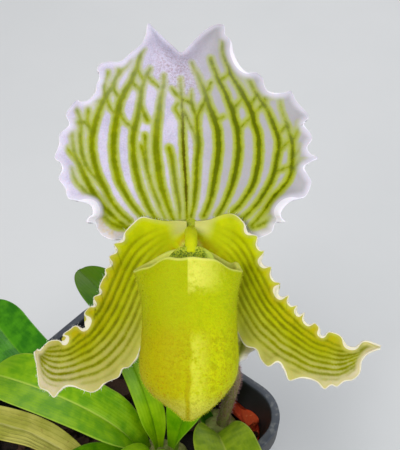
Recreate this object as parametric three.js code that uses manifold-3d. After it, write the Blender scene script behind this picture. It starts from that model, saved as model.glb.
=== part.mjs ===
// A slipper orchid, Paphiopedilum fairrieanum, in bloom in a square nursery pot of bark.
// Millimetres, +Z up. The origin is the middle of the pot's underside.
// The bloom has a frame of its own: x to the viewer's right, y up towards the dorsal sepal,
// z out of its face. Its sepals and petals are thin blades given by their waved margins.

import * as THREE from "three";
import Module from "manifold-3d";
import { mergeVertices } from "three/addons/utils/BufferGeometryUtils.js";

const wasm = await Module();
wasm.setup();

// Pot
const POT_TURN = 49.7; // degrees about Z
const POT_HEIGHT = 85;
const POT_TOP = 94; // side of the square rim, outside
const POT_FOOT = 64; // side of the square foot, outside
const POT_WALL = 1.8;
const POT_FLOOR = 2.4;
const RIM_BAND = 9; // height of the turned-out band under the lip
const RIM_STEP = 2.4; // how far the band stands out from the wall
const CORNER = 17; // radius of the rim's corners
const CORNER_STEPS = 5;
const DRAIN_RADIUS = 4;
const DRAIN_OFFSET = 17;

// Bark
const BARK_TOP = 67;
const SEAT_GAP = 0.3;
const RED_GAP = 0.8; // round the reddish chips
const CHIP_SPACING = 13.5;

// Growths: where each fan of leaves stands in the bark, the compass of its long axis,
// and the half length, half width and half height of its crown of leaf sheaths
const CROWN_TOP = 74;
const GROWTHS = {
  flowering: { at: [37, 6], turn: 100, reach: [12, 9, 8] },
  middle: { at: [16, -6], turn: 170, reach: [13, 10.5, 8] },
  old: { at: [1, -21], turn: 200, reach: [10, 8, 7] },
};

// Bloom
const BLOOM_AT = new THREE.Vector3(28, -64, 249.5);
const BLOOM_TILT = 45; // degrees that the face looks up from level
const BLADE = 0.8; // thickness of a sepal or petal
const POUCH_WALL = 0.9;

const rad = THREE.MathUtils.degToRad;
const v3 = (x, y, z) => new THREE.Vector3(x, y, z);
const mix = (a, b, t) => a + (b - a) * t;
const clamp01 = (t) => Math.min(1, Math.max(0, t));
const smooth = (t) => clamp01(t) ** 2 * (3 - 2 * clamp01(t));

// Repeatable random numbers from 0 to 1
function randomFrom(seed) {
  let state = seed;
  return () => {
    state = (state * 1664525 + 1013904223) % 4294967296;
    return state / 4294967296;
  };
}

// Meshes and solids

function geometryOf(positions, index) {
  const geometry = new THREE.BufferGeometry();
  geometry.setAttribute("position", new THREE.Float32BufferAttribute(positions, 3));
  geometry.setIndex(index);
  return geometry;
}

function solidOf(geometry) {
  const plain = geometry.index ? geometry.toNonIndexed() : geometry.clone();
  plain.deleteAttribute("normal");
  plain.deleteAttribute("uv");
  const merged = mergeVertices(plain, 1e-3);
  return new wasm.Manifold(
    new wasm.Mesh({
      numProp: 3,
      vertProperties: merged.attributes.position.array,
      triVerts: new Uint32Array(merged.index.array),
    }),
  );
}

function geometryFrom(solid) {
  const { vertProperties, triVerts, numProp, numVert } = solid.getMesh();
  const positions = [];
  for (let i = 0; i < numVert; i++) {
    positions.push(...vertProperties.subarray(i * numProp, i * numProp + 3));
  }
  return geometryOf(positions, Array.from(triVerts));
}

// The largest body of a solid, so that a cut leaves no loose scrap
function mainBody(solid) {
  return solid.decompose().reduce((a, b) => (a.volume() > b.volume() ? a : b));
}

// Rings of equal length joined side to side and capped flat at both ends
function loft(rings) {
  const count = rings[0].length;
  const positions = rings.flat().flatMap((p) => [p.x, p.y, p.z]);
  const index = [];
  for (let j = 0; j + 1 < rings.length; j++) {
    for (let i = 0; i < count; i++) {
      const a = j * count + i;
      const b = j * count + ((i + 1) % count);
      index.push(a, b, b + count, a, b + count, a + count);
    }
  }
  const last = (rings.length - 1) * count;
  for (let i = 1; i + 1 < count; i++) {
    index.push(0, i + 1, i, last, last + i, last + i + 1);
  }
  return geometryOf(positions, index);
}

// A round stem along a curve, its radius given at each share of its length
function stem(points, radiusAt, steps, sides) {
  const curve = new THREE.CatmullRomCurve3(points);
  const { normals, binormals } = curve.computeFrenetFrames(steps, false);
  const rings = normals.map((normal, j) => {
    const share = j / steps;
    const centre = curve.getPointAt(share);
    return Array.from({ length: sides }, (_, i) => {
      const angle = (2 * Math.PI * i) / sides;
      return centre
        .clone()
        .addScaledVector(normal, radiusAt(share) * Math.cos(angle))
        .addScaledVector(binormals[j], radiusAt(share) * Math.sin(angle));
    });
  });
  return loft(rings);
}

// A thin closed blade about a grid of points, grid[row][column]. Both faces are split alike.
function blade(grid, thicknessAt) {
  const rows = grid.length;
  const columns = grid[0].length;
  const at = (j, i) => grid[Math.min(rows - 1, Math.max(0, j))][Math.min(columns - 1, Math.max(0, i))];
  const positions = [];
  for (const side of [1, -1]) {
    for (let j = 0; j < rows; j++) {
      for (let i = 0; i < columns; i++) {
        const across = at(j, i + 1).clone().sub(at(j, i - 1));
        const along = at(j + 1, i).clone().sub(at(j - 1, i));
        const normal = across.cross(along).normalize();
        const half = (side * thicknessAt(j / (rows - 1), i / (columns - 1))) / 2;
        const p = grid[j][i].clone().addScaledVector(normal, half);
        positions.push(p.x, p.y, p.z);
      }
    }
  }
  const back = rows * columns;
  const index = [];
  for (let j = 0; j + 1 < rows; j++) {
    for (let i = 0; i + 1 < columns; i++) {
      const a = j * columns + i;
      const b = a + 1;
      const c = a + columns;
      const d = c + 1;
      index.push(a, b, d, a, d, c);
      index.push(back + a, back + d, back + b, back + a, back + c, back + d);
    }
  }
  const border = [];
  for (let i = 0; i < columns; i++) border.push(i);
  for (let j = 1; j < rows; j++) border.push(j * columns + columns - 1);
  for (let i = columns - 2; i >= 0; i--) border.push((rows - 1) * columns + i);
  for (let j = rows - 2; j > 0; j--) border.push(j * columns);
  border.forEach((a, k) => {
    const b = border[(k + 1) % border.length];
    index.push(a, back + a, back + b, a, back + b, b);
  });
  return geometryOf(positions, index);
}

const pointsOf = (rows) => rows.map(([x, y, z]) => v3(x, y, z));
const lineThrough = (rows) => new THREE.CatmullRomCurve3(pointsOf(rows), false, "catmullrom", 0.5);

// A number that runs evenly through a list as the share goes from 0 to 1
function along(list, share) {
  const place = clamp01(share) * (list.length - 1);
  const k = Math.min(list.length - 2, Math.floor(place));
  return mix(list[k], list[k + 1], smooth(place - k) * 0.5 + (place - k) * 0.5);
}

// Bloom: margins as [across, up, wave out of the face]

// Dorsal sepal, from its foot on the left, over the two peaks and the notch, to its foot on the right
const DORSAL_MARGIN = [
  [-3.0, -0.6, 0],
  [-8.0, -2.4, 0],
  [-13.4, -2.9, -0.4],
  [-15.2, -2.6, 0],
  [-16.7, -2.8, 0.8],
  [-19.1, -1.9, 0],
  [-20.3, -0.4, 0.6],
  [-20.8, 0.8, 1.6],
  [-22.4, 1.1, 3.0],
  [-21.9, 2.1, 3.6],
  [-21.0, 2.8, 4.0],
  [-21.2, 4.3, 4.0],
  [-22.5, 5.2, 2.6],
  [-24.9, 5.8, 0.6],
  [-26.6, 6.3, 0],
  [-27.3, 8.5, 0],
  [-28.7, 10.6, -0.6],
  [-27.8, 12.5, 1.4],
  [-28.2, 13.8, 0.8],
  [-29.6, 15.1, -0.8],
  [-28.6, 17.8, 1.2],
  [-28.5, 20.2, 0],
  [-26.5, 22.3, 1.0],
  [-27.4, 24.8, -1.0],
  [-25.1, 27.9, -0.8],
  [-24.0, 27.5, 0.6],
  [-22.3, 27.9, 0.9],
  [-21.0, 29.6, 0.8],
  [-20.8, 31.4, -0.2],
  [-20.3, 32.5, 0.6],
  [-20.3, 33.7, 0.4],
  [-20.8, 35.0, -0.4],
  [-20.0, 36.1, 0],
  [-18.3, 36.6, 0.4],
  [-15.8, 36.6, 0.8],
  [-13.4, 38.8, 0],
  [-11.2, 41.0, -1.0],
  [-10.2, 43.3, -1.4],
  [-9.8, 46.1, -2.0],
  [-8.0, 44.6, -2.6],
  [-6.5, 43.2, -3.0],
  [-4.2, 41.1, -3.8],
  [-2.3, 39.6, -4.4],
  [-0.5, 41.1, -3.4],
  [2.4, 43.9, -2.4],
  [4.2, 45.1, -1.6],
  [5.8, 45.7, -1.0],
  [7.4, 45.3, -0.4],
  [7.7, 42.9, 0.6],
  [8.9, 41.4, 1.2],
  [9.4, 38.6, 2.4],
  [10.8, 35.5, 2.4],
  [12.4, 34.1, 1.6],
  [14.5, 34.2, 0],
  [15.9, 33.0, -0.6],
  [16.2, 31.2, 0.6],
  [17.1, 29.8, 1.4],
  [18.8, 29.4, 1.4],
  [20.6, 29.6, 0.4],
  [22.0, 30.0, -0.8],
  [23.2, 27.7, 0],
  [25.8, 24.2, -0.4],
  [24.6, 22.4, 1.4],
  [26.0, 20.6, 0],
  [26.5, 19.4, -0.4],
  [25.3, 17.1, 1.0],
  [26.0, 16.0, 0.6],
  [27.7, 15.1, -1.0],
  [26.1, 14.2, 0.4],
  [24.6, 12.9, 1.6],
  [25.3, 11.5, 0.6],
  [26.2, 9.9, -0.6],
  [25.7, 7.9, -0.4],
  [24.8, 6.6, 0],
  [23.6, 6.2, 0.8],
  [21.9, 5.7, 2.4],
  [20.3, 4.6, 3.8],
  [19.3, 3.0, 4.2],
  [19.6, 1.9, 3.8],
  [20.4, 1.2, 3.0],
  [18.6, 1.0, 1.4],
  [18.1, 0.4, 0.6],
  [17.8, -0.9, 0],
  [15.4, -2.2, -0.4],
  [14.0, -2.5, 0.4],
  [12.8, -2.4, 0.4],
  [9.6, -2.2, 0],
  [6.0, -1.6, 0],
  [3.0, -0.6, 0],
];

// Petals, each from its foot to its tip. The upper margin is crisped, the lower one waved.
const LEFT_PETAL = {
  upper: [
    [-0.9, 1.4, 0],
    [-3.2, 1.3, 0.4],
    [-5.4, 1.1, 0],
    [-8.2, 1.5, -0.4],
    [-10.8, 1.8, 0],
    [-12.6, 0.6, 0.5],
    [-14.4, -1.4, 1.0],
    [-14.8, -2.8, -0.4],
    [-16.5, -3.7, 0],
    [-15.6, -5.1, 1.6],
    [-17.4, -6.6, 0],
    [-17.0, -8.2, 1.4],
    [-18.2, -9.3, 0],
    [-18.6, -11.0, -1.0],
    [-19.4, -12.8, 0.8],
    [-19.0, -14.2, 1.2],
    [-21.0, -15.6, 0],
    [-20.4, -17.0, 1.4],
    [-22.6, -18.2, 0],
    [-21.8, -20.2, 1.6],
    [-23.2, -21.9, 0.6],
    [-25.4, -21.7, -0.6],
    [-27.2, -23.0, 0],
    [-27.6, -24.8, 1.2],
    [-30.2, -25.2, 0],
    [-33.2, -26.9, -0.8],
    [-36.0, -27.8, 0],
  ],
  lower: [
    [-1.0, -1.4, 0],
    [-4.2, -6.4, 0],
    [-6.6, -12.0, 0],
    [-8.6, -19.0, 0],
    [-10.8, -26.0, 0],
    [-12.2, -29.0, 0.8],
    [-13.4, -30.2, 0],
    [-14.8, -30.8, -0.8],
    [-16.0, -32.4, 0],
    [-18.4, -33.8, 0.8],
    [-20.4, -35.2, 0],
    [-22.4, -35.5, -0.6],
    [-24.8, -34.7, -1.4],
    [-27.0, -34.4, -0.6],
    [-28.6, -35.8, 0],
    [-30.3, -37.4, 0.8],
    [-31.8, -35.9, -0.8],
    [-33.4, -35.3, 0],
    [-34.3, -32.8, 0.6],
    [-35.2, -30.2, 0],
    [-36.0, -27.8, 0],
  ],
  depth: [0.9, 1.7, 1.3, 1.2, 0, -4, -9],
};

const RIGHT_PETAL = {
  upper: [
    [0.9, 1.4, 0],
    [2.8, 1.4, 0.4],
    [4.3, 1.6, 0],
    [7.3, 2.4, -0.4],
    [9.8, 2.6, 0],
    [11.6, 0.8, 0.6],
    [12.2, -1.0, 1.0],
    [14.4, -2.0, 0],
    [14.6, -4.0, -0.8],
    [15.6, -5.6, 0],
    [14.3, -7.2, 1.8],
    [15.2, -8.6, 1.0],
    [17.2, -8.8, 0],
    [18.0, -11.0, -0.8],
    [17.2, -13.6, 1.8],
    [18.6, -15.4, 1.4],
    [21.4, -14.9, 0],
    [22.4, -17.0, -0.6],
    [23.0, -18.8, 1.2],
    [24.4, -19.4, 0],
    [25.2, -21.2, 1.2],
    [27.6, -21.0, 0],
    [27.9, -23.4, 1.4],
    [28.9, -24.2, 0.6],
    [30.6, -23.2, -0.8],
    [32.6, -24.0, 0],
    [34.6, -26.3, 1.4],
    [37.0, -26.6, 0.6],
    [38.9, -25.4, -0.6],
    [43.0, -26.9, 0],
  ],
  lower: [
    [1.0, -1.4, 0],
    [3.8, -5.6, 0],
    [6.0, -10.6, 0],
    [8.4, -17.0, 0],
    [10.2, -23.0, 0],
    [11.8, -25.6, 0.6],
    [14.0, -26.4, 0],
    [15.2, -28.8, -0.8],
    [16.8, -30.2, 0],
    [18.8, -29.0, 1.0],
    [20.0, -30.8, 0.6],
    [21.0, -33.2, 0],
    [23.8, -32.4, -1.0],
    [27.0, -33.5, -0.6],
    [29.6, -35.7, 0],
    [32.0, -35.5, 0.6],
    [35.0, -34.5, -0.6],
    [37.2, -33.3, 0],
    [38.0, -30.4, 0.8],
    [40.2, -28.2, 0],
    [43.0, -26.9, 0],
  ],
  depth: [0.9, 1.7, 1.3, 0.8, 0, -2, -4],
};

// The dorsal sepal's face: sides a little forward, top bent back, a groove along the middle
function dorsalDepth(x, y) {
  const groove = -0.5 * Math.exp(-((x / 1.6) ** 2)) * smooth(y / 8);
  return -1.2 + 0.0028 * x * x - 0.0032 * y * y + groove;
}

const DORSAL_COLUMNS = 2 * (DORSAL_MARGIN.length - 1);
const DORSAL_ROWS = [0.03, 0.36, 0.64, 0.84, 1];
const DORSAL_FOOT = 2.6; // half the width of its foot

function dorsalSepal() {
  const margin = new THREE.CatmullRomCurve3(pointsOf(DORSAL_MARGIN));
  margin.arcLengthDivisions = 10 * DORSAL_MARGIN.length;
  const grid = DORSAL_ROWS.map((reach) =>
    Array.from({ length: DORSAL_COLUMNS + 1 }, (_, i) => {
      const edge = margin.getPointAt(1 - i / DORSAL_COLUMNS);
      const footX = mix(DORSAL_FOOT, -DORSAL_FOOT, i / DORSAL_COLUMNS);
      const x = mix(footX, edge.x, reach);
      const y = mix(0.4, edge.y, reach);
      return v3(x, y, dorsalDepth(x, y) + edge.z * smooth((reach - 0.6) / 0.4));
    }),
  );
  return blade(grid.reverse(), () => BLADE);
}

// A margin with its waves ironed out, for the inside of a petal
function ironed(margin, share) {
  const reach = 0.09;
  const shares = [-1, -0.5, 0, 0.5, 1].map((k) => clamp01(share + k * reach * Math.min(1, 4 * share)));
  const sum = shares.reduce((total, k) => total.add(margin.getPoint(k)), v3(0, 0, 0));
  return sum.divideScalar(shares.length);
}

const PETAL_ROWS = 46;
const PETAL_END = 0.985; // share of its length where a petal's tip is cut off
const PETAL_BOWL = 0.9; // how far its sides stand forward of its middle
const PETAL_ACROSS = [-1, -0.78, -0.3, 0.3, 0.78, 1];

function petal({ upper, lower, depth }, mirrored) {
  const above = lineThrough(upper);
  const below = lineThrough(lower);
  const grid = Array.from({ length: PETAL_ROWS + 1 }, (_, j) => {
    const share = (j / PETAL_ROWS) * PETAL_END;
    const [u, l] = [above.getPoint(share), below.getPoint(share)];
    const [u0, l0] = [ironed(above, share), ironed(below, share)];
    return PETAL_ACROSS.map((side) => {
      const [edge, plain] = side > 0 ? [u, u0] : [l, l0];
      const waved = smooth((Math.abs(side) - 0.3) / 0.7);
      const x = mix(mix(l0.x, u0.x, (side + 1) / 2), mix(l.x, u.x, (side + 1) / 2), waved);
      const y = mix(mix(l0.y, u0.y, (side + 1) / 2), mix(l.y, u.y, (side + 1) / 2), waved);
      const bowl = PETAL_BOWL * (side * side - 0.6);
      return v3(x, y, along(depth, share) + bowl + mix(plain.z, edge.z, waved) * waved);
    });
  });
  if (mirrored) grid.forEach((row) => row.reverse());
  return blade(grid, () => BLADE);
}

// Synsepal: the two lower sepals grown together, hanging behind the pouch
const SYNSEPAL_LENGTH = 35;
const SYNSEPAL_MIDDLE = 0.8;
const SYNSEPAL_TOP = -1.6;
const SYNSEPAL_HALF = [1.8, 5.6, 9, 11.4, 13, 13.4, 8.8, 1.2];
const SYNSEPAL_WAVES = 7;
const SYNSEPAL_WAVE = 1.1; // height of the waves
const SYNSEPAL_KEEL = -1.2;

function synsepal() {
  const across = [-1, -0.82, -0.42, 0, 0.42, 0.82, 1];
  const rows = 24;
  const grid = Array.from({ length: rows + 1 }, (_, j) => {
    const share = j / rows;
    const turns = 2 * Math.PI * SYNSEPAL_WAVES * share;
    const wave = Math.sin(turns) * smooth(share * 4) * smooth((1 - share) * 5);
    return across.map((side) => {
      const edge = smooth((Math.abs(side) - 0.45) / 0.55);
      const half = along(SYNSEPAL_HALF, share) * (1 + 0.035 * edge * Math.cos(2 * turns));
      const keel = SYNSEPAL_KEEL * (1 - side * side) * Math.sin(Math.PI * share);
      const z = -2.2 - 2.4 * share + 0.5 * share ** 3 + keel + SYNSEPAL_WAVE * wave * edge * Math.sign(side);
      return v3(SYNSEPAL_MIDDLE + side * half, SYNSEPAL_TOP - SYNSEPAL_LENGTH * share, z);
    });
  });
  grid.forEach((row) => row.reverse());
  return blade(grid, () => BLADE);
}

// Pouch: rings from the toe up to the rim. A ring is
// [up, middle across, middle out, half width, reach forward, reach back, squareness]
const POUCH_RINGS = [
  [-39.8, -0.4, 12.9, 0.6, 0.6, 0.6, 2.0],
  [-39.2, -0.2, 12.6, 1.6, 1.8, 1.9, 2.0],
  [-37.8, 0.1, 12.0, 3.6, 3.9, 4.2, 2.0],
  [-36.0, -0.1, 11.2, 6.0, 6.1, 6.4, 2.1],
  [-34.3, -0.4, 10.5, 7.9, 7.7, 7.7, 2.2],
  [-31.6, -0.4, 9.6, 9.8, 9.2, 8.7, 2.3],
  [-28.0, -0.3, 9.0, 10.4, 10.2, 9.0, 2.4],
  [-23.4, -0.2, 8.8, 10.1, 10.2, 8.6, 2.5],
  [-19.2, -0.2, 8.8, 9.9, 9.6, 7.8, 2.5],
  [-15.0, -0.3, 8.8, 10.1, 8.9, 7.0, 2.4],
  [-11.6, -0.4, 8.8, 10.8, 8.7, 6.6, 2.3],
];
const POUCH_SHIFT = -0.5; // the rim's middle, across
// The rim from its middle in front, by one corner, to the claw at the back: [across, up, out]
const POUCH_RIM = [
  [0, -6.3, 17.6],
  [4.6, -6.4, 16.8],
  [8.4, -8.2, 14.0],
  [11.3, -9.2, 10.2],
  [10.8, -8.6, 7.0],
  [8.4, -7.4, 4.0],
  [4.6, -5.4, 2.4],
  [0, -4.4, 2.0],
];
const POUCH_MIDDLE = 9; // out, where the rim's wall thickness points to
const POUCH_SIDES = 28;

function pouchRing([up, midX, midZ, half, front, behind, square], inset) {
  return Array.from({ length: POUCH_SIDES }, (_, i) => {
    const angle = (2 * Math.PI * i) / POUCH_SIDES;
    const [c, s] = [Math.cos(angle), Math.sin(angle)];
    const reach = s > 0 ? front : behind;
    const x = Math.sign(c) * Math.abs(c) ** (2 / square) * Math.max(0.2, half - inset);
    const z = Math.sign(s) * Math.abs(s) ** (2 / square) * Math.max(0.2, reach - inset);
    return v3(midX + x, up, midZ + z);
  });
}

function pouchRim(inset) {
  const half = lineThrough(POUCH_RIM);
  return Array.from({ length: POUCH_SIDES }, (_, i) => {
    const angle = (360 * i) / POUCH_SIDES; // 0 is the right corner, 90 the front
    const fromFront = Math.abs(((angle - 90 + 540) % 360) - 180) / 180;
    const p = half.getPoint(fromFront);
    const side = angle < 90 || angle > 270 ? 1 : -1;
    const towards = v3(side * p.x, 0, p.z - POUCH_MIDDLE).normalize().multiplyScalar(-inset);
    return v3(side * p.x + POUCH_SHIFT, p.y, p.z).add(towards);
  });
}

function pouch() {
  const outside = [...POUCH_RINGS.map((ring) => pouchRing(ring, 0)), pouchRim(0)];
  const floor = POUCH_RINGS.slice(2).map((ring) => [ring[0] + POUCH_WALL * 0.6, ...ring.slice(1)]);
  const inside = [...floor.map((ring) => pouchRing(ring, POUCH_WALL)), pouchRim(POUCH_WALL)];
  const rings = [...outside, ...inside.reverse()];
  return loft(rings.map((ring) => ring.slice().reverse()));
}

// Receptacle, column and staminode
const RECEPTACLE = { at: [0, 0, -2.6], radius: 2.6 };

function ball([x, y, z], radius, grow = 0) {
  return new THREE.SphereGeometry(radius + grow, 12, 8).translate(x, y, z);
}

const COLUMN_PATH = [
  v3(0, -0.9, -2.4),
  v3(0, -1.1, 1.2),
  v3(0.1, -1.7, 4.4),
  v3(0.1, -3.4, 7.4),
  v3(0.1, -5.6, 8.6),
];
const COLUMN_RADIUS = [1.4, 1.3];
const SHIELD = { at: [0.2, -8.0, 9.4], reach: [5.3, 4.2, 1.3], tilt: -14 };
function columnNeck(grow) {
  return stem(COLUMN_PATH, (s) => mix(...COLUMN_RADIUS, s) + grow, 9, 12);
}
function columnSolid() {
  const shield = new THREE.SphereGeometry(1, 16, 8)
    .scale(...SHIELD.reach)
    .rotateX(rad(SHIELD.tilt))
    .translate(...SHIELD.at);
  return solidOf(columnNeck(0)).add(solidOf(shield));
}

// Stalk: scape from the flowering growth, and the ovary that carries the bloom
const bloomUp = v3(0, Math.cos(rad(BLOOM_TILT)), Math.sin(rad(BLOOM_TILT)));
const bloomOut = v3(0, -Math.sin(rad(BLOOM_TILT)), Math.cos(rad(BLOOM_TILT)));
const fromBloom = (x, y, z) =>
  BLOOM_AT.clone().add(v3(x, 0, 0)).addScaledVector(bloomUp, y).addScaledVector(bloomOut, z);

const SCAPE_PATH = [
  v3(37.4, 6.4, 68),
  v3(40.2, 8.6, 84),
  v3(42.2, 3.0, 107),
  v3(39.2, -10.0, 136),
  v3(35.4, -26.0, 170),
  v3(31.8, -39.8, 202),
  v3(30.1, -46.4, 216.6),
];
const OVARY_PATH = [
  v3(30.07, -46.53, 216.9),
  v3(29.2, -49.9, 224.6),
  v3(28.2, -53.4, 234.6),
  fromBloom(0, -0.8, -8),
  fromBloom(0, 0, -3.4),
];
const SCAPE_RADIUS = [2.3, 1.9];
const OVARY_RADIUS = [1.7, 2.2, 2.3, 2.2, 1.9, 2.3];

// The bract, a sheath folded round the foot of the ovary. Its middle faces the front.
const BRACT_PATH = [v3(31.1, -42.4, 207.6), v3(30.07, -46.5, 216.8), v3(29.1, -50.0, 225)];
const BRACT_OPEN = [100, 250]; // degrees of it left open behind, at its foot and at its tip
const BRACT_RADIUS = [2.65, 3.7];
const BRACT_THICKNESS = 0.7;
function bract() {
  const path = new THREE.CatmullRomCurve3(BRACT_PATH);
  const rows = 8;
  const columns = 9;
  const { normals, binormals } = path.computeFrenetFrames(rows, false);
  const grid = Array.from({ length: rows + 1 }, (_, j) => {
    const share = j / rows;
    const centre = path.getPointAt(share);
    const open = mix(...BRACT_OPEN, smooth((share - 0.35) / 0.65));
    const radius = mix(...BRACT_RADIUS, smooth(share * 1.3));
    return Array.from({ length: columns + 1 }, (_, i) => {
      const angle = (i / columns - 0.5) * rad(360 - open) + Math.PI / 2;
      return centre
        .clone()
        .addScaledVector(normals[j], radius * Math.cos(angle))
        .addScaledVector(binormals[j], radius * Math.sin(angle));
    });
  });
  return blade(grid, () => BRACT_THICKNESS);
}

// Leaves. Each starts beside its growth's middle and bends over along its length.
// at: distance from the middle, turn: compass at foot and tip, climb: slope at foot and tip
const LEAVES = {
  leaf_back_left: { growth: "middle", at: 9.5, turn: [162, 115], climb: [34, -8], length: 90, width: 22.7 },
  leaf_left: { growth: "middle", at: 7.2, turn: [184, 152], climb: [78, -20], length: 73, width: 24 },
  leaf_rear: { growth: "middle", at: 3.6, turn: [118, 128], climb: [84, 32], length: 48, width: 11 },
  leaf_upright: { growth: "middle", at: 5.6, turn: [20, 84], climb: [86, 28], length: 80, width: 17.2 },
  leaf_front_left: { growth: "middle", at: 9.6, turn: [213, 250], climb: [66, -42], length: 80, width: 20.7 },
  leaf_young: { growth: "middle", at: 5.6, turn: [249, 246], climb: [88, -12], length: 62, width: 11.6 },
  leaf_back: { growth: "flowering", at: 6.4, turn: [146, 136], climb: [60, 9], length: 77, width: 19 },
  leaf_front_right: {
    growth: "flowering", at: 6.4, turn: [265, 316], climb: [76, -64], length: 114, width: 22.5,
  },
  leaf_flowering_front: {
    growth: "flowering", at: 9.8, turn: [258, 246], climb: [48, -40], length: 116, width: 18,
  },
  leaf_withered: { growth: "old", at: 6.4, turn: [149, 199], climb: [42, -28], length: 96, width: 15 },
  leaf_old_front: { growth: "old", at: 5.4, turn: [262, 240], climb: [46, -40], length: 112, width: 18 },
};
const LEAF_ROWS = [0, 0.05, 0.13, 0.23, 0.34, 0.46, 0.58, 0.7, 0.81, 0.9, 0.96, 1];
const LEAF_ACROSS = [-1, -0.5, 0, 0.5, 1];
const LEAF_THICKNESS = 1.2;
const LEAF_FOLD = [44, 14]; // degrees each half is folded up, at the foot and further out
const LEAF_SUNK = 0.8; // depth of its foot in the crown, before it is cut clear

// Half width of a leaf along its length: narrow foot, strap, rounded tip
function leafHalf(width, share) {
  const strap = mix(0.42, 1, smooth(share / 0.36));
  const tip = share < 0.8 ? 1 : Math.sqrt(Math.max(0.02, 1 - ((share - 0.8) / 0.2) ** 2));
  return (width / 2) * strap * tip * mix(1, 0.93, share);
}

// The height of a crown's surface at a distance and compass from its middle
function crownHeight({ turn, reach }, distance, compass) {
  const x = (distance * Math.cos(rad(compass - turn))) / reach[0];
  const y = (distance * Math.sin(rad(compass - turn))) / reach[1];
  return CROWN_TOP - reach[2] + reach[2] * Math.sqrt(Math.max(0, 1 - x * x - y * y));
}

function leaf({ growth, at, turn, climb, length, width }) {
  const { at: middle } = GROWTHS[growth];
  const steps = 120;
  const footHeight = crownHeight(GROWTHS[growth], at, turn[0]) - LEAF_SUNK;
  const place = v3(at, 0, footHeight).applyAxisAngle(v3(0, 0, 1), rad(turn[0])).add(v3(...middle, 0));
  const spine = [];
  for (let k = 0; k <= steps; k++) {
    const share = k / steps;
    const heading = rad(mix(turn[0], turn[1], share));
    const slope = rad(mix(climb[0], climb[1], share));
    const ahead = v3(Math.cos(heading) * Math.cos(slope), Math.sin(heading) * Math.cos(slope), Math.sin(slope));
    const side = v3(Math.sin(heading), -Math.cos(heading), 0);
    spine.push({ centre: place.clone(), side, over: side.clone().cross(ahead) });
    place.addScaledVector(ahead, length / steps);
  }
  const grid = LEAF_ROWS.map((share) => {
    const { centre, side, over } = spine[Math.round(share * steps)];
    const half = leafHalf(width, share);
    const fold = rad(mix(...LEAF_FOLD, smooth(share / 0.45)));
    return LEAF_ACROSS.map((t) =>
      centre
        .clone()
        .addScaledVector(side, t * half * Math.cos(fold))
        .addScaledVector(over, Math.abs(t) ** 1.25 * half * Math.sin(fold)),
    );
  });
  return blade(grid, (j, i) => LEAF_THICKNESS * mix(0.62, 1, 1 - Math.abs(2 * i - 1)));
}

// Pot and bark

function squareRing(side, corner, z) {
  const ring = [];
  const reach = side / 2 - corner;
  for (let quarter = 0; quarter < 4; quarter++) {
    const start = (quarter * Math.PI) / 2;
    const centre = v3(reach, reach, 0).applyAxisAngle(v3(0, 0, 1), start);
    for (let k = 0; k <= CORNER_STEPS; k++) {
      const angle = start + (k / CORNER_STEPS) * (Math.PI / 2);
      ring.push(v3(centre.x + corner * Math.cos(angle), centre.y + corner * Math.sin(angle), z));
    }
  }
  return ring.map((p) => p.applyAxisAngle(v3(0, 0, 1), rad(POT_TURN)));
}

const wallSide = (z) => mix(POT_FOOT, POT_TOP - 2 * RIM_STEP, z / POT_HEIGHT);
const cornerAt = (z) => mix(CORNER * 0.7, CORNER - RIM_STEP, z / POT_HEIGHT);

function potSolid() {
  const bandFoot = POT_HEIGHT - RIM_BAND;
  const rings = [
    squareRing(wallSide(0) - 2, cornerAt(0) - 1, 0),
    squareRing(wallSide(1.2), cornerAt(1.2), 1.2),
    squareRing(wallSide(bandFoot), cornerAt(bandFoot), bandFoot),
    squareRing(POT_TOP - 1, CORNER - 0.5, bandFoot + 0.6),
    squareRing(POT_TOP, CORNER, POT_HEIGHT - 0.8),
    squareRing(POT_TOP - 1.2, CORNER - 0.6, POT_HEIGHT),
    squareRing(POT_TOP - 5.4, CORNER - 2.7, POT_HEIGHT),
    squareRing(POT_TOP - 6.4, CORNER - 3.2, POT_HEIGHT - 0.8),
    squareRing(wallSide(bandFoot) - 2 * POT_WALL, cornerAt(bandFoot) - POT_WALL, bandFoot),
    squareRing(wallSide(POT_FLOOR) - 2 * POT_WALL, cornerAt(POT_FLOOR) - POT_WALL, POT_FLOOR),
  ];
  let solid = solidOf(loft(rings));
  for (const turn of [0, 90, 180, 270]) {
    const { x, y } = v3(DRAIN_OFFSET, 0, 0).applyAxisAngle(v3(0, 0, 1), rad(turn + POT_TURN));
    const drill = new THREE.CylinderGeometry(DRAIN_RADIUS, DRAIN_RADIUS, 10, 10).rotateX(Math.PI / 2);
    solid = solid.subtract(solidOf(drill.translate(x, y, 0)));
  }
  return solid;
}

// The room inside the pot, kept clear of its wall, from the floor up to a height
function insideOfPot(top) {
  const inset = 2 * (POT_WALL + SEAT_GAP);
  const ring = (z) => squareRing(wallSide(z) - inset, cornerAt(z) - POT_WALL - SEAT_GAP, z);
  return solidOf(loft([ring(POT_FLOOR + SEAT_GAP), ring(top)]));
}

function chip(random, size, grow = 0) {
  const sides = [size, size * mix(0.5, 0.8, random()), size * mix(0.28, 0.42, random())];
  const box = new THREE.BoxGeometry(...sides.map((side) => side + 2 * grow));
  const corners = new Map();
  const position = box.attributes.position;
  for (let i = 0; i < position.count; i++) {
    const key = [0, 1, 2].map((k) => Math.sign(position.array[3 * i + k])).join();
    if (!corners.has(key)) corners.set(key, [0, 1, 2].map(() => (random() - 0.5) * size * 0.22));
    corners.get(key).forEach((shift, k) => (position.array[3 * i + k] += shift));
  }
  return box
    .rotateX((random() - 0.5) * 0.9)
    .rotateY((random() - 0.5) * 0.9)
    .rotateZ(random() * Math.PI);
}

function crownSolid({ at, turn, reach }, grow = 0) {
  const mound = new THREE.SphereGeometry(1, 16, 10)
    .rotateX(Math.PI / 2)
    .scale(...reach.map((half) => half + grow))
    .rotateZ(rad(turn))
    .translate(at[0], at[1], CROWN_TOP - reach[2]);
  return solidOf(mound);
}

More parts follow.
